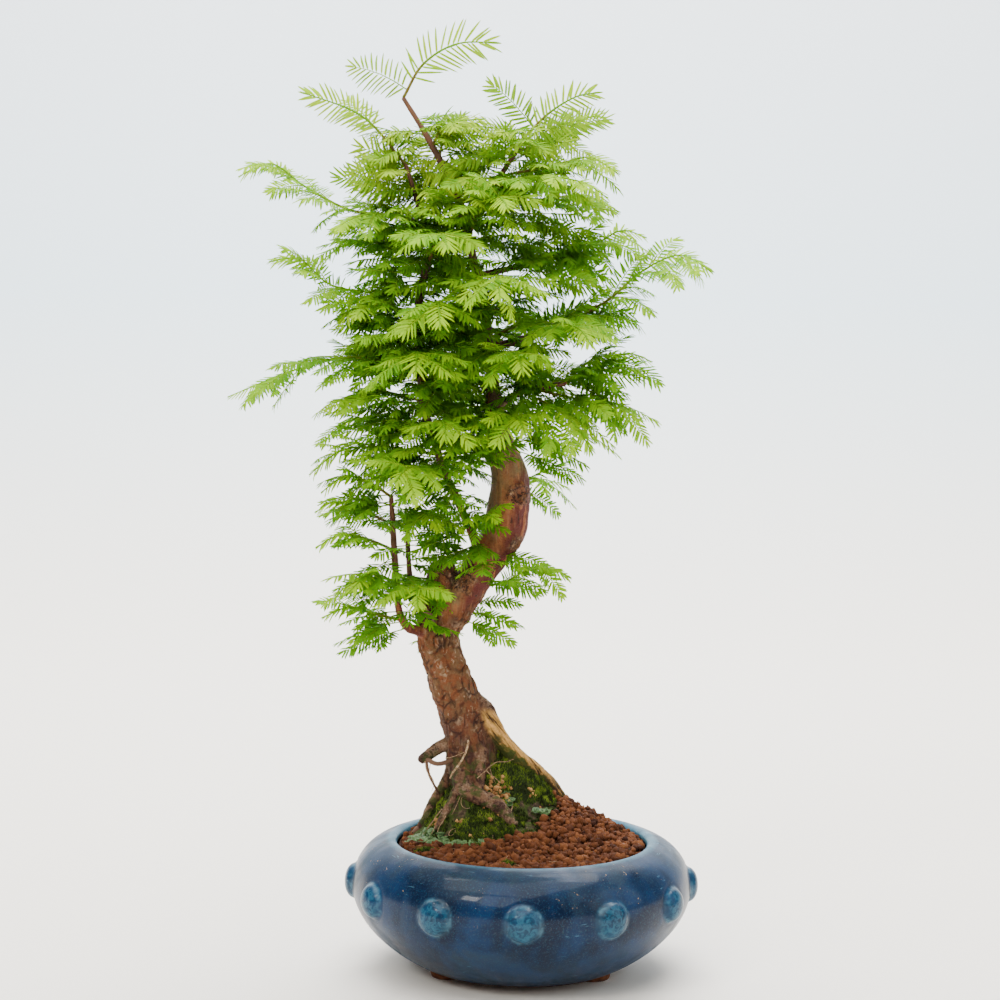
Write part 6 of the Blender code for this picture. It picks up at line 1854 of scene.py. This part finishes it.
def spray_shape(spray, looks, number):
    """A spray: its tapering shoot, the thin ribs of its fronds and their needles."""
    scatter = np.random.default_rng(looks.seed * 1000 + number)
    path = shoot_path(*spray[:4])
    shape = Shape()
    along = lengths_along(path)
    radius = np.interp(along / along[-1], (0, 0.5, 1.0), (1.0, 0.7, 0.3))
    points, faces = sweep(path[None], radius[None], SHOOT_SIDES)
    shoot = np.concatenate([[0], np.repeat(np.linspace(0, 1, len(path)), SHOOT_SIDES), [1]])
    shape.add(points, faces, wood=1 - smooth_step(shoot, 0.15, 0.5), tone=0.35, bronze=0.3)
    fronds = fronds_of(spray, path, scatter, looks.pitch / MM)
    ribs = np.stack([one["rib"][::2] for one in fronds])
    thin = np.linspace(0.5, 0.2, ribs.shape[1])[None] * np.ones((len(ribs), 1))
    points, faces = sweep(ribs, thin, 3)
    parts = np.array([one["part"] for one in fronds])
    shape.add(points, faces, wood=0.2, tone=np.repeat(0.4 + 0.35 * parts, points.shape[1]), bronze=0.2)
    high = float(smooth_step(path[-1, 2], 440.0, 560.0))
    for one in fronds:
        one["step"] *= 1 - 0.08 * high
    lines = [needle_lines(one, scatter) for one in fronds]
    foot, reach, face, droop, tone = (np.concatenate([line[i] for line in lines]) for i in range(5))
    large = spray[5] >= LARGE_NEEDLE
    width = looks.width / MM * scatter.uniform(0.8, 1.1, len(foot)) * (1.1 if large else 0.95)
    width = width * (1 - 0.2 * high)
    stations = (0.12, 0.5, 0.86) if large else (0.18, 0.78)
    points, faces, share = blades(foot, reach, face, droop, width, stations)
    size = points.shape[1]
    shape.add(
        points, faces, smooth=False, tone=np.repeat(np.clip(tone + 0.14 * high, 0, 1), size), tip=share,
        bronze=np.clip(np.repeat(scatter.normal(high, 0.15, len(foot)), size), 0, 1), wood=0.0,
    )
    return shape


def needle_finish(looks, wood):
    """Needles: from deep green inside the crown to lime at the ends, paler along the base, bronzed in
    the sun at the apex, with light passing through; the shoots turn from brown to green."""
    leaf = Finish("needles", Roughness=0.6, Specular_IOR_Level=0.02)
    tone = leaf.value("tone") + 0.16 * leaf.noise(9, 3) - 0.08
    sun = leaf.value("bronze")
    body = leaf.coats(
        leaf.ramp(tone, (0.06, looks.shade), (0.4, looks.green), (0.82, looks.lime)),
        (sun * (0.25 + 0.45 * leaf.band(leaf.noise(14, 3), 0.35, 0.65)), looks.bronze),
        (leaf.band(leaf.value("tip"), 0.8, 1.0) * sun * 0.45, (0.34, 0.14, 0.05)),
        (leaf.value("wood"), leaf.blend(leaf.noise(3, 3), wood.twig, (0.3, 0.15, 0.07))),
    )
    leaf.link(Base_Color=body, Roughness=0.42 + 0.2 * leaf.noise(4, 2))
    leaf.bump(leaf.noise(0.8, 2), 0.12, 0.5)
    glow = leaf.node("ShaderNodeBsdfTranslucent", None, {"Color": looks.glow})
    skin = Tone(leaf, leaf.shader.outputs[0])
    both = leaf.node("ShaderNodeMixShader", None, {0: LIGHT_THROUGH, 1: skin, 2: glow})
    leaf.tree.links.new(both.socket, leaf.tree.nodes["Material Output"].inputs["Surface"])
    return leaf.material


class BonsaiSprays(bpy.types.Operator):
    """Makes the leafy sprays"""

    bl_idname = "bonsai.sprays"
    bl_label = "Sprays"

    def execute(self, context):
        looks = context.scene.bonsai_leaves
        finish = needle_finish(looks, context.scene.bonsai_wood)
        for number, spray in enumerate(SPRAYS):
            name = "spray_" + spray[0]
            placed(spray_shape(spray, looks, number), name + "_needles", finish, "needles", name)
        return {"FINISHED"}


# Stage


BEND = 1.2
CAMERA_PLACE = (-0.0183, -1.5, 0.424)
CAMERA_TURN = (math.radians(90 - 5.11), math.radians(-0.8), 0.0)
MIDDLE = (0.0, 0.0, 0.28)
LAMPS = (
    # name, place and aim in metres from the pot's foot, size, which power, tint
    ("overhead light", (-0.2, -0.35, 2.3), MIDDLE, 2.4, "key", (1.0, 0.99, 0.98)),
    ("window light", (-1.2, -1.5, 1.5), MIDDLE, 0.42, "window", (1.0, 0.96, 0.9)),
    ("fill light", (1.6, -0.7, 0.9), MIDDLE, 1.4, "fill", (0.95, 0.98, 1.0)),
    ("front light", (-0.7, -2.4, 1.9), MIDDLE, 1.3, "front", (1.0, 0.97, 0.92)),
    ("rim light", (0.3, 1.0, 1.7), MIDDLE, 1.4, "fill", (0.97, 0.99, 1.0)),
    ("backdrop light", (0.0, 1.2, 2.8), (0.0, 2.4, 0.9), 2.4, "back", (0.98, 0.99, 1.0)),
)


def lamp(name, place, aim, size, power, tint):
    """A square soft light at a place, turned so that it faces another place."""
    light = bpy.data.lights.new(name, "AREA")
    light.size = size
    light.energy = power
    light.color = tint
    item = linked(name, light)
    item.location = place
    x, y, z = aim - place
    item.rotation_euler = (math.atan2(math.hypot(x, y), -z), 0.0, math.atan2(y, x) - math.pi / 2)


class BonsaiStage(bpy.types.Operator):
    """Makes the floor, the backdrop, the lights and the camera"""

    bl_idname = "bonsai.stage"
    bl_label = "Stage"

    def execute(self, context):
        looks = context.scene.bonsai_stage
        turn = np.linspace(0.0, math.pi / 2, 24)
        depth = np.concatenate([[-3.0, 0.0], BEND + BEND * np.sin(turn), [2 * BEND]])
        height = np.concatenate([[0.0, 0.0], BEND - BEND * np.cos(turn), [4.0]])
        across = np.linspace(-4.0, 4.0, 9)
        shape = Shape()
        grid = xyz(across[None], depth[:, None], height[:, None])
        faces = grid_faces(len(depth), len(across), wrap_columns=False)
        shape.add((grid - ORIGIN) / MM, [faces], closed=False)
        floor = linked("floor_and_backdrop", shape.mesh("floor_and_backdrop"))
        paper = Finish("pale paper", Roughness=0.9)
        stops = ((0.0, looks.floor), (0.16, looks.sky), (0.5, (0.93, 0.95, 0.99)))
        paper.link(Base_Color=paper.ramp(paper.height() * 0.4, *stops))
        floor.data.materials.append(paper.material)
        for name, place, aim, size, light, tint in LAMPS:
            lamp(name, ORIGIN + place, ORIGIN + aim, size, getattr(looks, light), tint)
        world = bpy.data.worlds.new("studio")
        world.use_nodes = True
        sky = world.node_tree.nodes["Background"]
        sky.inputs[0].default_value = (0.93, 0.96, 1.0, 1.0)
        sky.inputs[1].default_value = 0.24
        context.scene.world = world
        camera = bpy.data.cameras.new("camera")
        camera.sensor_width = 36.0
        camera.lens = 88.78
        camera.clip_end = 30.0
        item = linked("camera", camera)
        item.location = ORIGIN + CAMERA_PLACE
        item.rotation_euler = CAMERA_TURN
        context.scene.camera = item
        return {"FINISHED"}


# Panel and run


class BonsaiPanel(bpy.types.Panel):
    """Lists the pieces of the bonsai and their sizes and colours"""

    bl_idname = "VIEW3D_PT_bonsai"
    bl_label = "Bonsai"
    bl_space_type = "VIEW_3D"
    bl_region_type = "UI"
    bl_category = "Bonsai"

    def draw(self, context):
        for operator in OPERATORS:
            self.layout.operator(operator.bl_idname)
        for name, looks in LOOKS.items():
            box = self.layout.box()
            for key in looks.__annotations__:
                box.prop(getattr(context.scene, name), key)


LOOKS = {
    "bonsai_pot": PotLooks,
    "bonsai_soil": SoilLooks,
    "bonsai_moss": MossLooks,
    "bonsai_wood": WoodLooks,
    "bonsai_leaves": LeafLooks,
    "bonsai_stage": StageLooks,
}
OPERATORS = (
    BonsaiStage, BonsaiPot, BonsaiDrain, BonsaiSoil, BonsaiRootBall, BonsaiMoss, BonsaiLiverwort,
    BonsaiWood, BonsaiSprays,
)


def register():
    for kind in (*LOOKS.values(), *OPERATORS, BonsaiPanel):
        bpy.utils.register_class(kind)
    for name, looks in LOOKS.items():
        setattr(bpy.types.Scene, name, PointerProperty(type=looks))


def unregister():
    for name in LOOKS:
        delattr(bpy.types.Scene, name)
    for kind in reversed((*LOOKS.values(), *OPERATORS, BonsaiPanel)):
        bpy.utils.unregister_class(kind)


def main():
    register()
    for operator in OPERATORS:
        group, name = operator.bl_idname.split(".")
        getattr(getattr(bpy.ops, group), name)()


if __name__ == "__main__":
    main()
